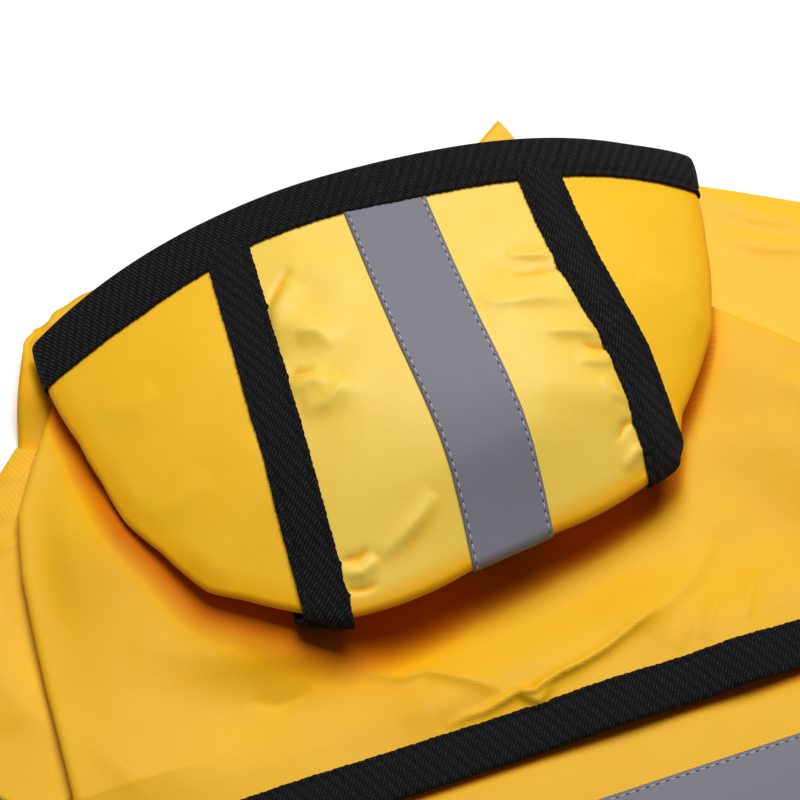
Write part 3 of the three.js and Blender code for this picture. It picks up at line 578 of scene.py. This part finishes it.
def yoke_detail(x, y):
    return creases(YOKE_CREASES, x, y) * (1 - span(-y, 98, 103))


def yoke_section(y, shares):
    """One section of the yoke: beneath on the left, round the fold, across, and the same on the right."""
    under = float(column(YOKE_SIDES, y, 4))

    def half(edge_x, inward):
        middle = edge_x + inward * (YOKE_FOLD + 0.6)
        top = float(yoke_height(middle, y))
        points = [(middle + inward * under * t, y, top - 2 * YOKE_FOLD) for t in (1, 0.75, 0.5, 0.25)]
        for angle in np.radians(np.linspace(-90, 90, 11)):
            height = top - YOKE_FOLD + YOKE_FOLD * math.sin(angle)
            points.append((middle - inward * YOKE_FOLD * math.cos(angle), y, height))
        return points

    left = half(float(column(YOKE_SIDES, y, 1)), 1)
    right = half(float(column(YOKE_SIDES, y, 2)), -1)[::-1]
    x = left[-1][0] + (right[0][0] - left[-1][0]) * shares[1:-1]
    rows = np.full(x.shape, float(y))
    top = np.stack([x, rows, yoke_height(x, rows) + yoke_detail(x, rows)], axis=1)
    return np.concatenate([left, top, right])


def yoke():
    shares = np.concatenate([
        np.linspace(0, 0.33, 60), np.linspace(0.33, 0.76, 150)[1:], np.linspace(0.76, 1, 48)[1:],
    ])
    rows = np.concatenate([
        np.linspace(YOKE_NECK_Y, -62, 62), np.linspace(-62, -103, 76)[1:],
        np.linspace(-103, YOKE_END_Y, 8)[1:],
    ])
    return np.array([yoke_section(y, shares) for y in rows])


def yoke_tape():
    return folded_tape(lambda inset: yoke_section(YOKE_END_Y + inset, np.linspace(0, 1, 420)))


def shade_under_hood(points):
    """Painted shadow on the yoke under the hood's folded edge, from 0 to 1, by how closely the edge stands
    over it.
    """
    x, y = points[..., 0], points[..., 1]
    away = np.hypot(x - HOOD_X, np.maximum(HOOD_Y - y, 0)) - hood_reach(x, y)
    far = column(HOOD_SHADE_REACH, hood_angle(x, y), 1)
    return 1 - span(away, 0.12 * far, far)


def shade_by_hood_tip(points):
    """Painted shadow on the front panel under the left end of the hood's edge, from 0 to 1, by how closely
    it stands over the panel.
    """
    away = np.hypot(points[..., 0] - HOOD_TIP[0], points[..., 1] - HOOD_TIP[1])
    return 0.5 * (1 - span(away, 5, 14))


def shade_at_fold(points):
    """Painted shade on the hood's cloth close to its folded edge, from 0 to 1."""
    return FOLD_SHADE * span(hood_inset(points[..., 0], points[..., 1]), 0.92, 1)


def shade_under_band(points):
    """Painted shadow on the rear panel under the band at the yoke's end, from 0 to 1, by how closely the
    band stands over it.
    """
    far = 5 + 3 * span(points[..., 0], 20, 90)
    return 1 - span(YOKE_END_Y - points[..., 1], 0.2 * far, far)


# Rear panel
def back_outline_y(x):
    across = np.minimum(np.abs(x) / BACK_HALF_WIDTH, 1)
    return BACK_SIDE_END_Y - BACK_TAIL * (1 - across**BACK_FULLNESS) ** (1 / BACK_FULLNESS)


def back_inset(x, y):
    across = np.abs(x) / BACK_HALF_WIDTH
    down = np.maximum(BACK_SIDE_END_Y - y, 0) / BACK_TAIL
    return (1 - (across**BACK_FULLNESS + down**BACK_FULLNESS) ** (1 / BACK_FULLNESS)) * BACK_TAIL


def back_points(x, y):
    rest = BACK_REST + 0.75 * span(y, -228, -210)
    rest = rest + (BACK_HELD - rest) * span(y, -178, -118)
    seamed = (yoke_height(x, y) - 1.8 - rest) * span(y, -98, BACK_TOP_Y)
    loose = span(back_inset(x, y), 14, 30) * (1 - span(y, -128, -112))
    folds = (soft_folds(BACK_FOLDS, x, y) + creases(BACK_CREASES, x, y)) * loose
    return np.stack([x, y, rest + seamed + folds], axis=-1)


def back_panel():
    x = BACK_HALF_WIDTH * np.sin(np.radians(np.linspace(-90, 90, 130)))
    t = np.linspace(0, 1, 110)[:, None]
    y = BACK_TOP_Y + (back_outline_y(x)[None] - BACK_TOP_Y) * t
    return back_points(np.broadcast_to(x, y.shape), y)


def back_strip():
    x = np.linspace(-BACK_HALF_WIDTH + 2, BACK_HALF_WIDTH - 2, 150)
    y = np.linspace(BACK_BAND_Y, BACK_BAND_Y - BAND_WIDTH, 16)[:, None]
    return laid_on(back_points(*np.broadcast_arrays(x[None], y)), REFLECTIVE)


def tail_tape():
    x = BACK_HALF_WIDTH * np.sin(np.radians(np.linspace(-88, 88, 300)))
    y = back_outline_y(x)
    across = np.sign(x) * (np.abs(x) / BACK_HALF_WIDTH) ** (BACK_FULLNESS - 1)
    down = ((BACK_SIDE_END_Y - y) / BACK_TAIL) ** (BACK_FULLNESS - 1)
    out = np.stack([across / BACK_HALF_WIDTH, -down / BACK_TAIL], axis=1)
    out /= np.linalg.norm(out, axis=1)[:, None]
    return folded_tape(lambda inset: back_points(x - inset * out[:, 0], y - inset * out[:, 1]), inner=0)


# Sleeves
def plan_curve(points, t):
    """A smooth curve through plan points."""
    p = np.array([points[0], *points, points[-1]], float)
    spot = np.clip(np.asarray(t) * (len(points) - 1), 0, len(points) - 1 - 1e-9)
    i = spot.astype(int)
    s = (spot - i)[..., None]
    a, b, c, d = p[i], p[i + 1], p[i + 2], p[i + 3]
    return 0.5 * (2 * b + (c - a) * s + (2 * a - 5 * b + 4 * c - d) * s**2 + (3 * b - a - 3 * c + d) * s**3)


def sleeve_points(side, run, across, height):
    armhole, cuff_front, cuff_back = SLEEVES[side]
    upper = height > SLEEVE_FOLD
    root = plan_curve(armhole, across)
    tuck = np.where(upper, SLEEVE_TUCK * span(across, 0, 0.1) * (1 - span(across, 0.9, 1)), 0)
    root = root + np.stack([tuck if side == "left" else -tuck, 0 * tuck], axis=-1)
    cuff_front, cuff_back = np.array(cuff_front), np.array(cuff_back)
    cuff = cuff_front + (cuff_back - cuff_front) * np.asarray(across)[..., None]
    length = np.hypot(*(root - cuff).T)
    from_cuff = np.where(run < 1, length + (CUFF_RUN - length) * run, CUFF_RUN * (2 - run))
    t = (1 - from_cuff / length)[..., None]
    plan = root + (cuff - root) * t
    clear = span(from_cuff, CUFF_RUN, 2 * CUFF_RUN)
    puffed = span(t[..., 0], 0.4, 0.62) * clear
    x, y = plan[..., 0], plan[..., 1]
    pinched = creases(SLEEVE_CREASES, x, y) * clear
    puff = np.where(upper, SLEEVE_PUFF * np.sin(np.pi * across) * puffed + pinched, 0)
    return np.concatenate([plan, ((1 - clear) * 1.6 + 0.5 + height + puff)[..., None]], axis=-1)


def sleeve_ring(side, run):
    """One line round a sleeve: over the top, round the rear fold, back beneath, round the front fold."""
    edge = SLEEVE_FOLD_SHARE
    flat = np.linspace(edge, 1 - edge, SLEEVE_COLUMNS)
    turn = np.radians(np.linspace(90, -90, 9)[1:-1])
    rear_fold, front_fold = 1 - edge + edge * np.cos(turn), edge - edge * np.cos(turn[::-1])
    across = np.concatenate([flat, rear_fold, flat[::-1], front_fold, flat[:1]])
    rise = SLEEVE_FOLD * (1 + np.sin(turn))
    top = np.full(SLEEVE_COLUMNS, 2 * SLEEVE_FOLD)
    height = np.concatenate([top, rise, np.zeros(SLEEVE_COLUMNS), rise[::-1], top[:1]])
    return sleeve_points(side, run, across, height)


def sleeve(side):
    runs = np.concatenate([np.linspace(0, 1, 60), np.linspace(1, 2, 10)[1:]])
    return np.array([sleeve_ring(side, run) for run in runs])


def cuff_tape(side):
    return folded_tape(lambda inset: sleeve_ring(side, 2 - inset / CUFF_RUN), inner=0)


# Front panels: outer edge as y, x, and neck edge as x, y
FRONT_OUTER = {
    "left": [
        (-200, -126), (-97, -126), (-84, -125), (-62, -112), (-42, -121.3), (-15, -129.3), (10, -130.3),
        (30, -123.6), (39, -121), (50, -116.8), (60, -113), (68.5, -108.5),
    ],
    "right": [
        (-200, 126), (-97, 126), (-78, 125), (-50, 112.3), (-22, 106.3), (5, 100.3), (30, 96.3),
        (51, 95), (56, 92), (66, 78),
    ],
}
FRONT_TOP = {
    "left": [(-108.5, 68.5), (-104, 69.6), (-101, 72.4), (-92, 76), (-60, 80), (0, 79)],
    "right": [(0, 79), (28, 80), (40.5, 87), (53.4, 96), (55.8, 88), (57.6, 81), (64, 73), (78, 66)],
}
FRONT_STEADY = 62
FRONT_RAISED = [(-115.5, 46, -112, 60, 8.5, 12)]
FRONT_NOTCH = [(-100, 75), (-102.5, 70), (-106, 65)]


def front_panel(side):
    outer = np.array(FRONT_OUTER[side], float)
    top = np.array(FRONT_TOP[side], float)
    start_y = outer[-1, 0]
    v = np.concatenate([np.linspace(0, 0.55, 24), np.linspace(0.55, 1, 60)[1:]])[:, None]
    u = np.linspace(0, 1, 70)[None]
    y = FRONT_HEM_Y + (start_y - FRONT_HEM_Y) * v
    edge_x = np.interp(y, outer[:, 0], outer[:, 1])
    middle_x = -0.15 if side == "left" else 0.15
    held = outer[-1, 1] + (middle_x - outer[-1, 1]) * u
    stretched = np.clip((np.abs(held) - FRONT_STEADY) / (abs(outer[-1, 1]) - FRONT_STEADY), 0, 1)
    x = held + (edge_x - outer[-1, 1]) * stretched
    y = y + (np.interp(x, top[:, 0], top[:, 1]) - start_y) * span(v, 0.55, 1)
    raised = soft_folds(FRONT_RAISED, x, y) * span(-x, 107, 113)
    height = 0.6 + raised + crease(FRONT_NOTCH, 1.5, 2.2, 0.9, x, y)
    return np.stack([x, y, height], axis=2)


# Building: sheets that close to a ring, and those with painted shade, deeper orange beside and under folds
CLOSED = ("leg", "cuff")
PAINTED_SHADE_OF = {
    "upper_back": shade_under_hood, "rear_back": shade_under_band, "chest_left": shade_by_hood_tip,
    "hood_centre": shade_at_fold, "hood_left": shade_at_fold, "hood_right": shade_at_fold,
}


def sunk(height):
    """How far each point of a grid lies below the cloth round it, from 0 to 1."""
    window = np.exp(-(np.arange(-5, 6) / 2.6) ** 2)
    level = height
    for axis in (0, 1):
        level = np.apply_along_axis(smoothed, axis, level, window)
    return np.clip((level - height) / SUNK_FULL, 0, 1)


def length_along(points, axis):
    """Length from the first line of a grid to each of them, in metres."""
    steps = np.linalg.norm(np.diff(points, axis=axis), axis=2).mean(axis=1 - axis)
    return np.concatenate([[0], np.cumsum(steps)]) * MM


def new_object(name, data):
    made = bpy.data.objects.new(name, data)
    bpy.context.scene.collection.objects.link(made)
    return made


def new_mesh(name, built):
    mesh = bpy.data.meshes.new(name)
    built.to_mesh(mesh)
    built.free()
    return mesh


def new_piece(name, mesh, finish, slot):
    mesh.shade_smooth()
    mesh.materials.append(finish)
    piece = new_object(name, mesh)
    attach(piece, "root")
    return piece


def cloth_piece(name, points, thickness, finish, slot, node):
    """A sheet of cloth on a grid of points. Its UV map is the flat cut, in metres."""
    rows, columns = points.shape[:2]
    grid = bmesh.new()
    bmesh.ops.create_grid(grid, x_segments=columns - 1, y_segments=rows - 1, size=0.5)
    mesh = new_mesh(name, grid)
    place = np.zeros(len(mesh.vertices) * 3)
    mesh.vertices.foreach_get("co", place)
    place = place.reshape(-1, 3)
    j = np.rint((place[:, 0] + 0.5) * (columns - 1)).astype(int)
    i = np.rint((place[:, 1] + 0.5) * (rows - 1)).astype(int)
    mesh.vertices.foreach_set("co", ((points + COAT_MOVED) * MM)[i, j].ravel())
    # Painted shade as an attribute: deeper orange under the hood's edge and the band, by the hood's tip, at
    # the hood's fold and in the dips of the cloth
    if name in PAINTED_SHADE_OF:
        painted_shade = mesh.attributes.new("painted_shade", "FLOAT", "POINT")
        tone = np.maximum(PAINTED_SHADE_OF[name](points), DIP_SHADE * sunk(points[..., 2]))
        painted_shade.data.foreach_set("value", tone[i, j].ravel())
    cut_u, cut_v = length_along(points, 1), length_along(points, 0)
    corner = np.zeros(len(mesh.loops), dtype=int)
    mesh.loops.foreach_get("vertex_index", corner)
    cut = mesh.uv_layers.new(name="cut")
    cut.data.foreach_set("uv", np.stack([cut_u[j[corner]], cut_v[i[corner]]], axis=1).ravel())
    joined = bmesh.new()
    joined.from_mesh(mesh)
    if name.startswith(CLOSED):
        bmesh.ops.remove_doubles(joined, verts=joined.verts, dist=0.00001)
    bmesh.ops.recalc_face_normals(joined, faces=joined.faces)
    joined.to_mesh(mesh)
    joined.free()
    piece = new_piece(name, mesh, finish, slot)
    wall = piece.modifiers.new("cloth thickness", "SOLIDIFY")
    wall.thickness = thickness * MM
    wall.offset = 0
    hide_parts(node)
    return piece


def fill(tree, node, values):
    """Gives the inputs of a node their values, or links them to the outputs of others."""
    for name, value in values.items():
        if hasattr(value, "is_output"):
            tree.links.new(value, node.inputs[name])
        else:
            node.inputs[name].default_value = value
    return node


def add(tree, kind, values=None, **settings):
    node = tree.nodes.new(kind)
    for name, value in settings.items():
        setattr(node, name, value)
    return fill(tree, node, values or {})


def new_group(name, inputs, outputs):
    group = bpy.data.node_groups.new(name, "ShaderNodeTree")
    for label, kind, value in inputs:
        made = group.interface.new_socket(label, in_out="INPUT", socket_type=kind)
        if value is not None:
            made.default_value = value
    for label, kind in outputs:
        group.interface.new_socket(label, in_out="OUTPUT", socket_type=kind)
    return group, group.nodes.new("NodeGroupInput"), group.nodes.new("NodeGroupOutput")


def maths(tree, operation, a, b=0.0):
    return add(tree, "ShaderNodeMath", {0: a, 1: b}, operation=operation).outputs[0]


def slanting_rib_group():
    """Slanting ribs of a twill: a wave across the cut, turned by an angle and slightly uneven."""
    group, given, out = new_group(
        "slanting rib",
        [("Cut", "NodeSocketVector", None), ("Pitch", "NodeSocketFloat", 0.001),
         ("Turn", "NodeSocketFloat", 0.8), ("Uneven", "NodeSocketFloat", 0.3)],
        [("Rib", "NodeSocketFloat")],
    )
    cut, pitch, turn, uneven = (given.outputs[label] for label in ("Cut", "Pitch", "Turn", "Uneven"))
    turned = add(group, "ShaderNodeVectorRotate", {"Vector": cut, "Angle": turn}, rotation_type="Z_AXIS")
    parts = add(group, "ShaderNodeSeparateXYZ", {0: turned.outputs[0]})
    noise = add(group, "ShaderNodeTexNoise", {"Vector": cut, "Scale": 900.0, "Detail": 2.0})
    shift = maths(group, "MULTIPLY", noise.outputs["Fac"], uneven)
    spot = maths(group, "DIVIDE", parts.outputs[0], pitch)
    wave = maths(group, "SINE", maths(group, "MULTIPLY", maths(group, "ADD", spot, shift), math.tau))
    rib = add(group, "ShaderNodeMath", {0: wave, 1: 0.5, 2: 0.5}, operation="MULTIPLY_ADD")
    group.links.new(rib.outputs[0], out.inputs["Rib"])
    return group


def fine_wrinkle_group():
    """Small crumples of light cloth, and broad patches where it catches the light."""
    group, given, out = new_group(
        "fine wrinkles",
        [("Cut", "NodeSocketVector", None), ("Size", "NodeSocketFloat", 40.0)],
        [("Height", "NodeSocketFloat"), ("Patch", "NodeSocketFloat")],
    )
    cut, size = given.outputs["Cut"], given.outputs["Size"]
    fine = add(group, "ShaderNodeTexNoise",
               {"Vector": cut, "Scale": size, "Detail": 3.0, "Roughness": 0.45, "Distortion": 0.6})
    sheen_patch = add(group, "ShaderNodeTexNoise", {"Vector": cut, "Scale": 24.0, "Detail": 2.0})
    group.links.new(fine.outputs["Fac"], out.inputs["Height"])
    group.links.new(sheen_patch.outputs["Fac"], out.inputs["Patch"])
    return group


SLANTING_RIB = slanting_rib_group()
FINE_WRINKLES = fine_wrinkle_group()


def slanting_rib(tree, cut, pitch, turn, uneven):
    values = {"Cut": cut, "Pitch": pitch, "Turn": turn, "Uneven": uneven}
    return add(tree, "ShaderNodeGroup", values, node_tree=SLANTING_RIB).outputs["Rib"]


def fine_wrinkles(tree, cut, size):
    node = add(tree, "ShaderNodeGroup", {"Cut": cut, "Size": size}, node_tree=FINE_WRINKLES)
    return node.outputs["Height"], node.outputs["Patch"]


def bump(tree, height, strength, distance, normal=None):
    values = {"Height": height, "Strength": strength, "Distance": distance}
    if normal is not None:
        values["Normal"] = normal
    return add(tree, "ShaderNodeBump", values).outputs[0]


def from_range(tree, value, ends=(0, 1), to=(0, 1)):
    """A value moved from one range to another, held at its ends."""
    values = {0: value, 1: ends[0], 2: ends[1], 3: to[0], 4: to[1]}
    return add(tree, "ShaderNodeMapRange", values).outputs[0]


def new_finish(name):
    finish = bpy.data.materials.new(name)
    finish.use_nodes = True
    tree = finish.node_tree
    shader = tree.nodes["Principled BSDF"]
    cut = add(tree, "ShaderNodeUVMap", uv_map="cut")
    return finish, tree, shader, cut.outputs[0]


def mixed(tree, share, first, second, blend="MIX"):
    values = {0: share, 6: first, 7: second}
    return add(tree, "ShaderNodeMix", values, data_type="RGBA", blend_type=blend).outputs[2]


def yellow_nylon(name, turn, tones, gloss, ribbed):
    """Coated nylon: satin, with a fine slanting rib and soft crumples, broad patches of painted sheen, and
    painted shade: deeper orange from the shade attribute and where the surface turns from the view.
    """
    finish, tree, shader, cut = new_finish(name)
    rib = slanting_rib(tree, cut, 0.0008, turn, 0.25)
    crumple, sheen_patch = fine_wrinkles(tree, cut, 55.0)
    # Broad patches mix the deep and the light tone: painted sheen
    broad = mixed(tree, sheen_patch, *((*tone, 1) for tone in tones))
    ribs = mixed(tree, ribbed, broad, rib, "MULTIPLY")
    # Deeper orange where the surface turns from the view: painted shade
    facing = add(tree, "ShaderNodeLayerWeight", {"Blend": 0.5}).outputs["Facing"]
    turned = from_range(tree, facing, (0.35, 0.9), (0, 0.45))
    shade_attribute = add(tree, "ShaderNodeAttribute", attribute_name="painted_shade").outputs["Fac"]
    painted_shade = maths(tree, "MAXIMUM", shade_attribute, turned)
    half_shade = mixed(tree, from_range(tree, painted_shade, (0, 0.5)), ribs, (*SHADE_BY_FOLD, 1))
    crumpled = bump(tree, crumple, 0.25, 0.0009)
    # The base colour takes the painted shade, first half and then full, and the gloss fades with it,
    # painting out the reflection there
    fill(tree, shader, {
        "Base Color": mixed(tree, from_range(tree, painted_shade, (0.5, 1)), half_shade, (*SHADOW_UNDER_FOLD, 1)),
        "Specular IOR Level": from_range(tree, painted_shade, to=(gloss, 0.02)),
        "Roughness": from_range(tree, sheen_patch, to=(0.45, 0.55)),
        "Normal": bump(tree, rib, 0.1, 0.0001, crumpled),
    })
    return finish


def black_tape():
    """Cotton twill tape: matt, short slanting yarns, fluffy, with painted highlights on their tops and
    painted shade between them.
    """
    finish, tree, shader, cut = new_finish("black twill tape")
    rib = slanting_rib(tree, cut, 0.0028, 0.55, 0.4)
    yarn = slanting_rib(tree, cut, 0.0009, -0.6, 0.9)
    lint = {"Vector": cut, "Scale": 1500.0, "Detail": 3.0, "Roughness": 0.7}
    fluff = add(tree, "ShaderNodeTexNoise", lint).outputs["Fac"]
    clump = from_range(tree, fluff, (0.36, 0.64), (0.15, 1))
    woven = maths(tree, "MULTIPLY", maths(tree, "ADD", rib, 0.25), maths(tree, "POWER", yarn, 1.6))
    weave_and_highlight = maths(tree, "MULTIPLY", woven, clump)
    # The base colour runs from almost black between the yarns to dark grey on their tops: painted shade and
    # painted highlights; the same weave also gives the bump
    fill(tree, shader, {
        "Base Color": mixed(tree, weave_and_highlight, (0.001, 0.0009, 0.0013, 1), (0.051, 0.047, 0.0545, 1)),
        "Roughness": 0.85,
        "Sheen Weight": 0.02,
        "Sheen Roughness": 0.5,
        "Specular IOR Level": 0.15,
        "Normal": bump(tree, weave_and_highlight, 1.0, 0.0004),
    })
    return finish


def grey_reflective():
    """Reflective tape: smooth grey with a faint grain, slight handling marks, and broad patches of painted
    sheen.
    """
    finish, tree, shader, cut = new_finish("grey reflective tape")
    grain = add(tree, "ShaderNodeTexNoise", {"Vector": cut, "Scale": 2600.0, "Detail": 2.0}).outputs["Fac"]
    mark, sheen_patch = fine_wrinkles(tree, cut, 90.0)
    # Broad patches a little lighter: painted sheen
    tone = mixed(tree, sheen_patch, (0.19, 0.186, 0.222, 1), (0.225, 0.22, 0.262, 1))
    fill(tree, shader, {
        "Base Color": mixed(tree, grain, (0.18, 0.176, 0.21, 1), tone),
        "Roughness": 0.6,
        "Specular IOR Level": 0.3,
        "Normal": bump(tree, grain, 0.2, 0.00004, bump(tree, mark, 0.15, 0.0005)),
    })
    return finish


def thread(name, colour):
    finish, tree, shader, _ = new_finish(name)
    place = add(tree, "ShaderNodeTexCoord").outputs["Object"]
    twist = add(tree, "ShaderNodeTexNoise", {"Vector": place, "Scale": 3000.0}).outputs["Fac"]
    darker = tuple(c * 0.75 for c in colour)
    shade = mixed(tree, twist, (*darker, 1), (*colour, 1))
    fill(tree, shader, {"Base Color": shade, "Roughness": 0.7, "Specular IOR Level": 0.15})
    return finish


# Colours: the nylon's painted shade beside a fold and painted shadow under it, then its deep and light tone
# on each part
SHADE_BY_FOLD = (0.9, 0.44, 0.006)
SHADOW_UNDER_FOLD = (0.62, 0.15, 0.002)
# The tones are one yellow cloth and differ as painted light and shade: the side tones are painted lighter,
# the body tones darker, and the hood centre's paler, more lemon tones are painted sheen
LIGHTER_PAINTED_TONES = (0.95, 0.52, 0.014), (0.97, 0.57, 0.024)
DARKER_PAINTED_TONES = (0.88, 0.445, 0.01), (0.96, 0.565, 0.03)
GUSSET_SHEEN_TONES = (0.95, 0.6, 0.045), (0.99, 0.73, 0.13)
# The hood sides, the right front and the right sleeve take the lighter painted copy; the yoke, rear panel,
# left front and left sleeve the darker one
NYLON_SHEENED_GUSSET = yellow_nylon("yellow nylon with painted sheen, hood centre", 2.3, GUSSET_SHEEN_TONES, 0.38, 0.1)
NYLON_PAINTED_LIGHTER = yellow_nylon("yellow nylon painted lighter", 2.3, LIGHTER_PAINTED_TONES, 0.22, 0.02)
NYLON_PAINTED_DARKER = yellow_nylon("yellow nylon painted darker", 0.95, DARKER_PAINTED_TONES, 0.14, 0.09)
BLACK = black_tape()
GREY = grey_reflective()
PALE_THREAD = thread("pale grey thread", (0.56, 0.56, 0.6))
DARK_THREAD = thread("black thread", (0.005, 0.005, 0.0055))
# Dark marks between the pale stitches: painted shade in the needle holes
NEEDLE_HOLE_SHADE = thread("painted shade of needle holes", (0.075, 0.072, 0.088))

grids, pieces = {}, {}
for name, node, grid, thickness, finish, slot in [
    ("hood_centre", "hood_gusset", hood_gusset(), CLOTH, NYLON_SHEENED_GUSSET, "yellow_cloth"),
    ("hood_left", "hood_side_left", hood_side(-1), CLOTH, NYLON_PAINTED_LIGHTER, "yellow_cloth"),
    ("hood_right", "hood_side_right", hood_side(1), CLOTH, NYLON_PAINTED_LIGHTER, "yellow_cloth"),
    ("hood_tape_l", "hood_tape_left", hood_tape(-1), TAPE, BLACK, "black_tape"),
    ("hood_tape_r", "hood_tape_right", hood_tape(1), TAPE, BLACK, "black_tape"),
    ("hood_strip", "hood_reflector", hood_strip(), REFLECTIVE, GREY, "grey_reflective"),
    ("hood_edge_tape", "hood_binding", hood_edge_tape(), TAPE, BLACK, "black_tape"),
    ("upper_back", "yoke", yoke(), CLOTH, NYLON_PAINTED_DARKER, "yellow_cloth"),
    ("upper_back_tape", "yoke_binding", yoke_tape(), TAPE, BLACK, "black_tape"),
    ("rear_back", "back_panel", back_panel(), CLOTH, NYLON_PAINTED_DARKER, "yellow_cloth"),
    ("rear_strip", "back_reflector", back_strip(), REFLECTIVE, GREY, "grey_reflective"),
    ("tail_tape", "hem_binding", tail_tape(), TAPE, BLACK, "black_tape"),
    ("chest_left", "front_left", front_panel("left"), CLOTH, NYLON_PAINTED_DARKER, "yellow_cloth"),
    ("chest_right", "front_right", front_panel("right"), CLOTH, NYLON_PAINTED_LIGHTER, "yellow_cloth"),
    ("leg_left", "sleeve_left", sleeve("left"), CLOTH, NYLON_PAINTED_DARKER, "yellow_cloth"),
    ("leg_right", "sleeve_right", sleeve("right"), CLOTH, NYLON_PAINTED_LIGHTER, "yellow_cloth"),
    ("cuff_tape_l", "cuff_binding_left", cuff_tape("left"), TAPE, BLACK, "black_tape"),
    ("cuff_tape_r", "cuff_binding_right", cuff_tape("right"), TAPE, BLACK, "black_tape"),
]:
    grids[name] = grid
    pieces[name] = cloth_piece(name, grid, thickness, finish, slot, node)


def stitches(name, lines, finish, slot, first=3.0, length=2.0, width=0.42, pitch=3.0):
    """Lock stitches as one joined mesh. A line is a grid, the share across it, and the thickness beneath."""
    sewn = bmesh.new()
    for grid, share, thickness in lines:
        spot = share * (grid.shape[1] - 1)
        j, part = int(spot), spot - int(spot)
        line = grid[:, j] * (1 - part) + grid[:, min(j + 1, grid.shape[1] - 1)] * part
        out = grid_normals(grid, 3, grid.shape[1] // 2)[:, j]
        run = np.concatenate([[0], np.cumsum(np.linalg.norm(np.diff(line, axis=0), axis=1))])
        at_run = lambda values, at: np.array([np.interp(at, run, values[:, k]) for k in range(3)])
        for at in np.arange(first, run[-1] - pitch, pitch):
            centre = at_run(line, at)
            ahead = Vector(at_run(line, at + 1) - centre).normalized()
            up = Vector(at_run(out, at)).normalized()
            side = up.cross(ahead)
            centre = Vector((centre + COAT_MOVED)) + up * (thickness / 2 + 0.05)
            turn = Matrix((ahead, side, up)).transposed().to_4x4()
            size = Matrix.Diagonal((length / 2, width / 2, width / 3, 1))
            matrix = Matrix.Diagonal((MM, MM, MM, 1)) @ Matrix.Translation(centre) @ turn @ size
            bmesh.ops.create_uvsphere(sewn, u_segments=6, v_segments=4, radius=1, matrix=matrix)
    return new_piece(name, new_mesh(name, sewn), finish, slot)


# Piece, grid with its rows along the seam, where the lines lie across it, thickness
sewn = [
    ("hood_strip", grids["hood_strip"], (0.045, 0.955), REFLECTIVE),
    ("rear_strip", np.swapaxes(grids["rear_strip"], 0, 1), (0.045, 0.955), REFLECTIVE),
    ("hood_tape_l", grids["hood_tape_l"], (0.16, 0.84), TAPE),
    ("hood_tape_r", grids["hood_tape_r"], (0.16, 0.84), TAPE),
    ("hood_edge_tape", np.swapaxes(grids["hood_edge_tape"][:TAPE_FACE_ROWS], 0, 1), (0.16,), TAPE),
    ("upper_back_tape", np.swapaxes(grids["upper_back_tape"][:TAPE_FACE_ROWS], 0, 1), (0.16,), TAPE),
]
for name, grid, shares, thickness in sewn:
    lines = [(grid, share, thickness) for share in shares]
    if thickness == REFLECTIVE:
        stitches(name + "_stitches", lines, PALE_THREAD, "grey_reflective")
        # Painted shade of the needle holes, between the stitches
        stitches(name + "_needle_hole_shade", lines, NEEDLE_HOLE_SHADE, "grey_reflective", 4.5, 0.9, 0.5)
    else:
        stitches(name + "_stitches", lines, DARK_THREAD, "black_tape")

# Setting: camera, floor and soft light
CAMERA_AZIMUTH = math.radians(-18.8)
CAMERA_ELEVATION = math.radians(62)
CAMERA_DISTANCE = 720
LOOKS_AT = np.array([-13.0, -0.5, 20])
backward = np.array([
    math.sin(CAMERA_AZIMUTH) * math.cos(CAMERA_ELEVATION),
    -math.cos(CAMERA_AZIMUTH) * math.cos(CAMERA_ELEVATION),
    math.sin(CAMERA_ELEVATION),
])
camera = new_object("camera", bpy.data.cameras.new("camera"))
camera.data.lens = 110
camera.data.sensor_width = 36
camera.location = Vector((LOOKS_AT + COAT_MOVED + backward * CAMERA_DISTANCE) * MM)
camera.rotation_euler = Vector(backward).to_track_quat("Z", "Y").to_euler()
bpy.context.scene.camera = camera

floor_mesh = bmesh.new()
bmesh.ops.create_grid(floor_mesh, x_segments=1, y_segments=1, size=3)
floor = new_object("floor", new_mesh("floor", floor_mesh))
floor.location.z = -0.0003
paper = bpy.data.materials.new("white table")
paper.use_nodes = True
fill(paper.node_tree, paper.node_tree.nodes["Principled BSDF"], {
    "Base Color": (0.95, 0.95, 0.95, 1), "Roughness": 0.9,
    "Emission Color": (1, 1, 1, 1), "Emission Strength": 0.15,
})
floor.data.materials.append(paper)


def softbox(name, place, size, power, colour):
    light = new_object(name, bpy.data.lights.new(name, "AREA"))
    light.data.shape = "RECTANGLE"
    light.data.size, light.data.size_y = size
    light.data.energy = power
    light.data.color = colour
    light.location = place
    aim = Vector(place) - Vector((0, 0.1, 0))
    light.rotation_euler = aim.to_track_quat("Z", "Y").to_euler()


softbox("key light", (0.3, 0.6, 1.4), (0.85, 0.9), 24.8, (1, 1, 1))
softbox("fill light", (0, -0.7, 1.4), (1.2, 0.9), 0.9, (1, 0.8, 0.6))

world = bpy.data.worlds.new("pale room")
world.use_nodes = True
fill(world.node_tree, world.node_tree.nodes["Background"], {"Color": (1, 1, 1, 1), "Strength": 0.05})
bpy.context.scene.world = world
bpy.context.scene.view_settings.view_transform = "Standard"
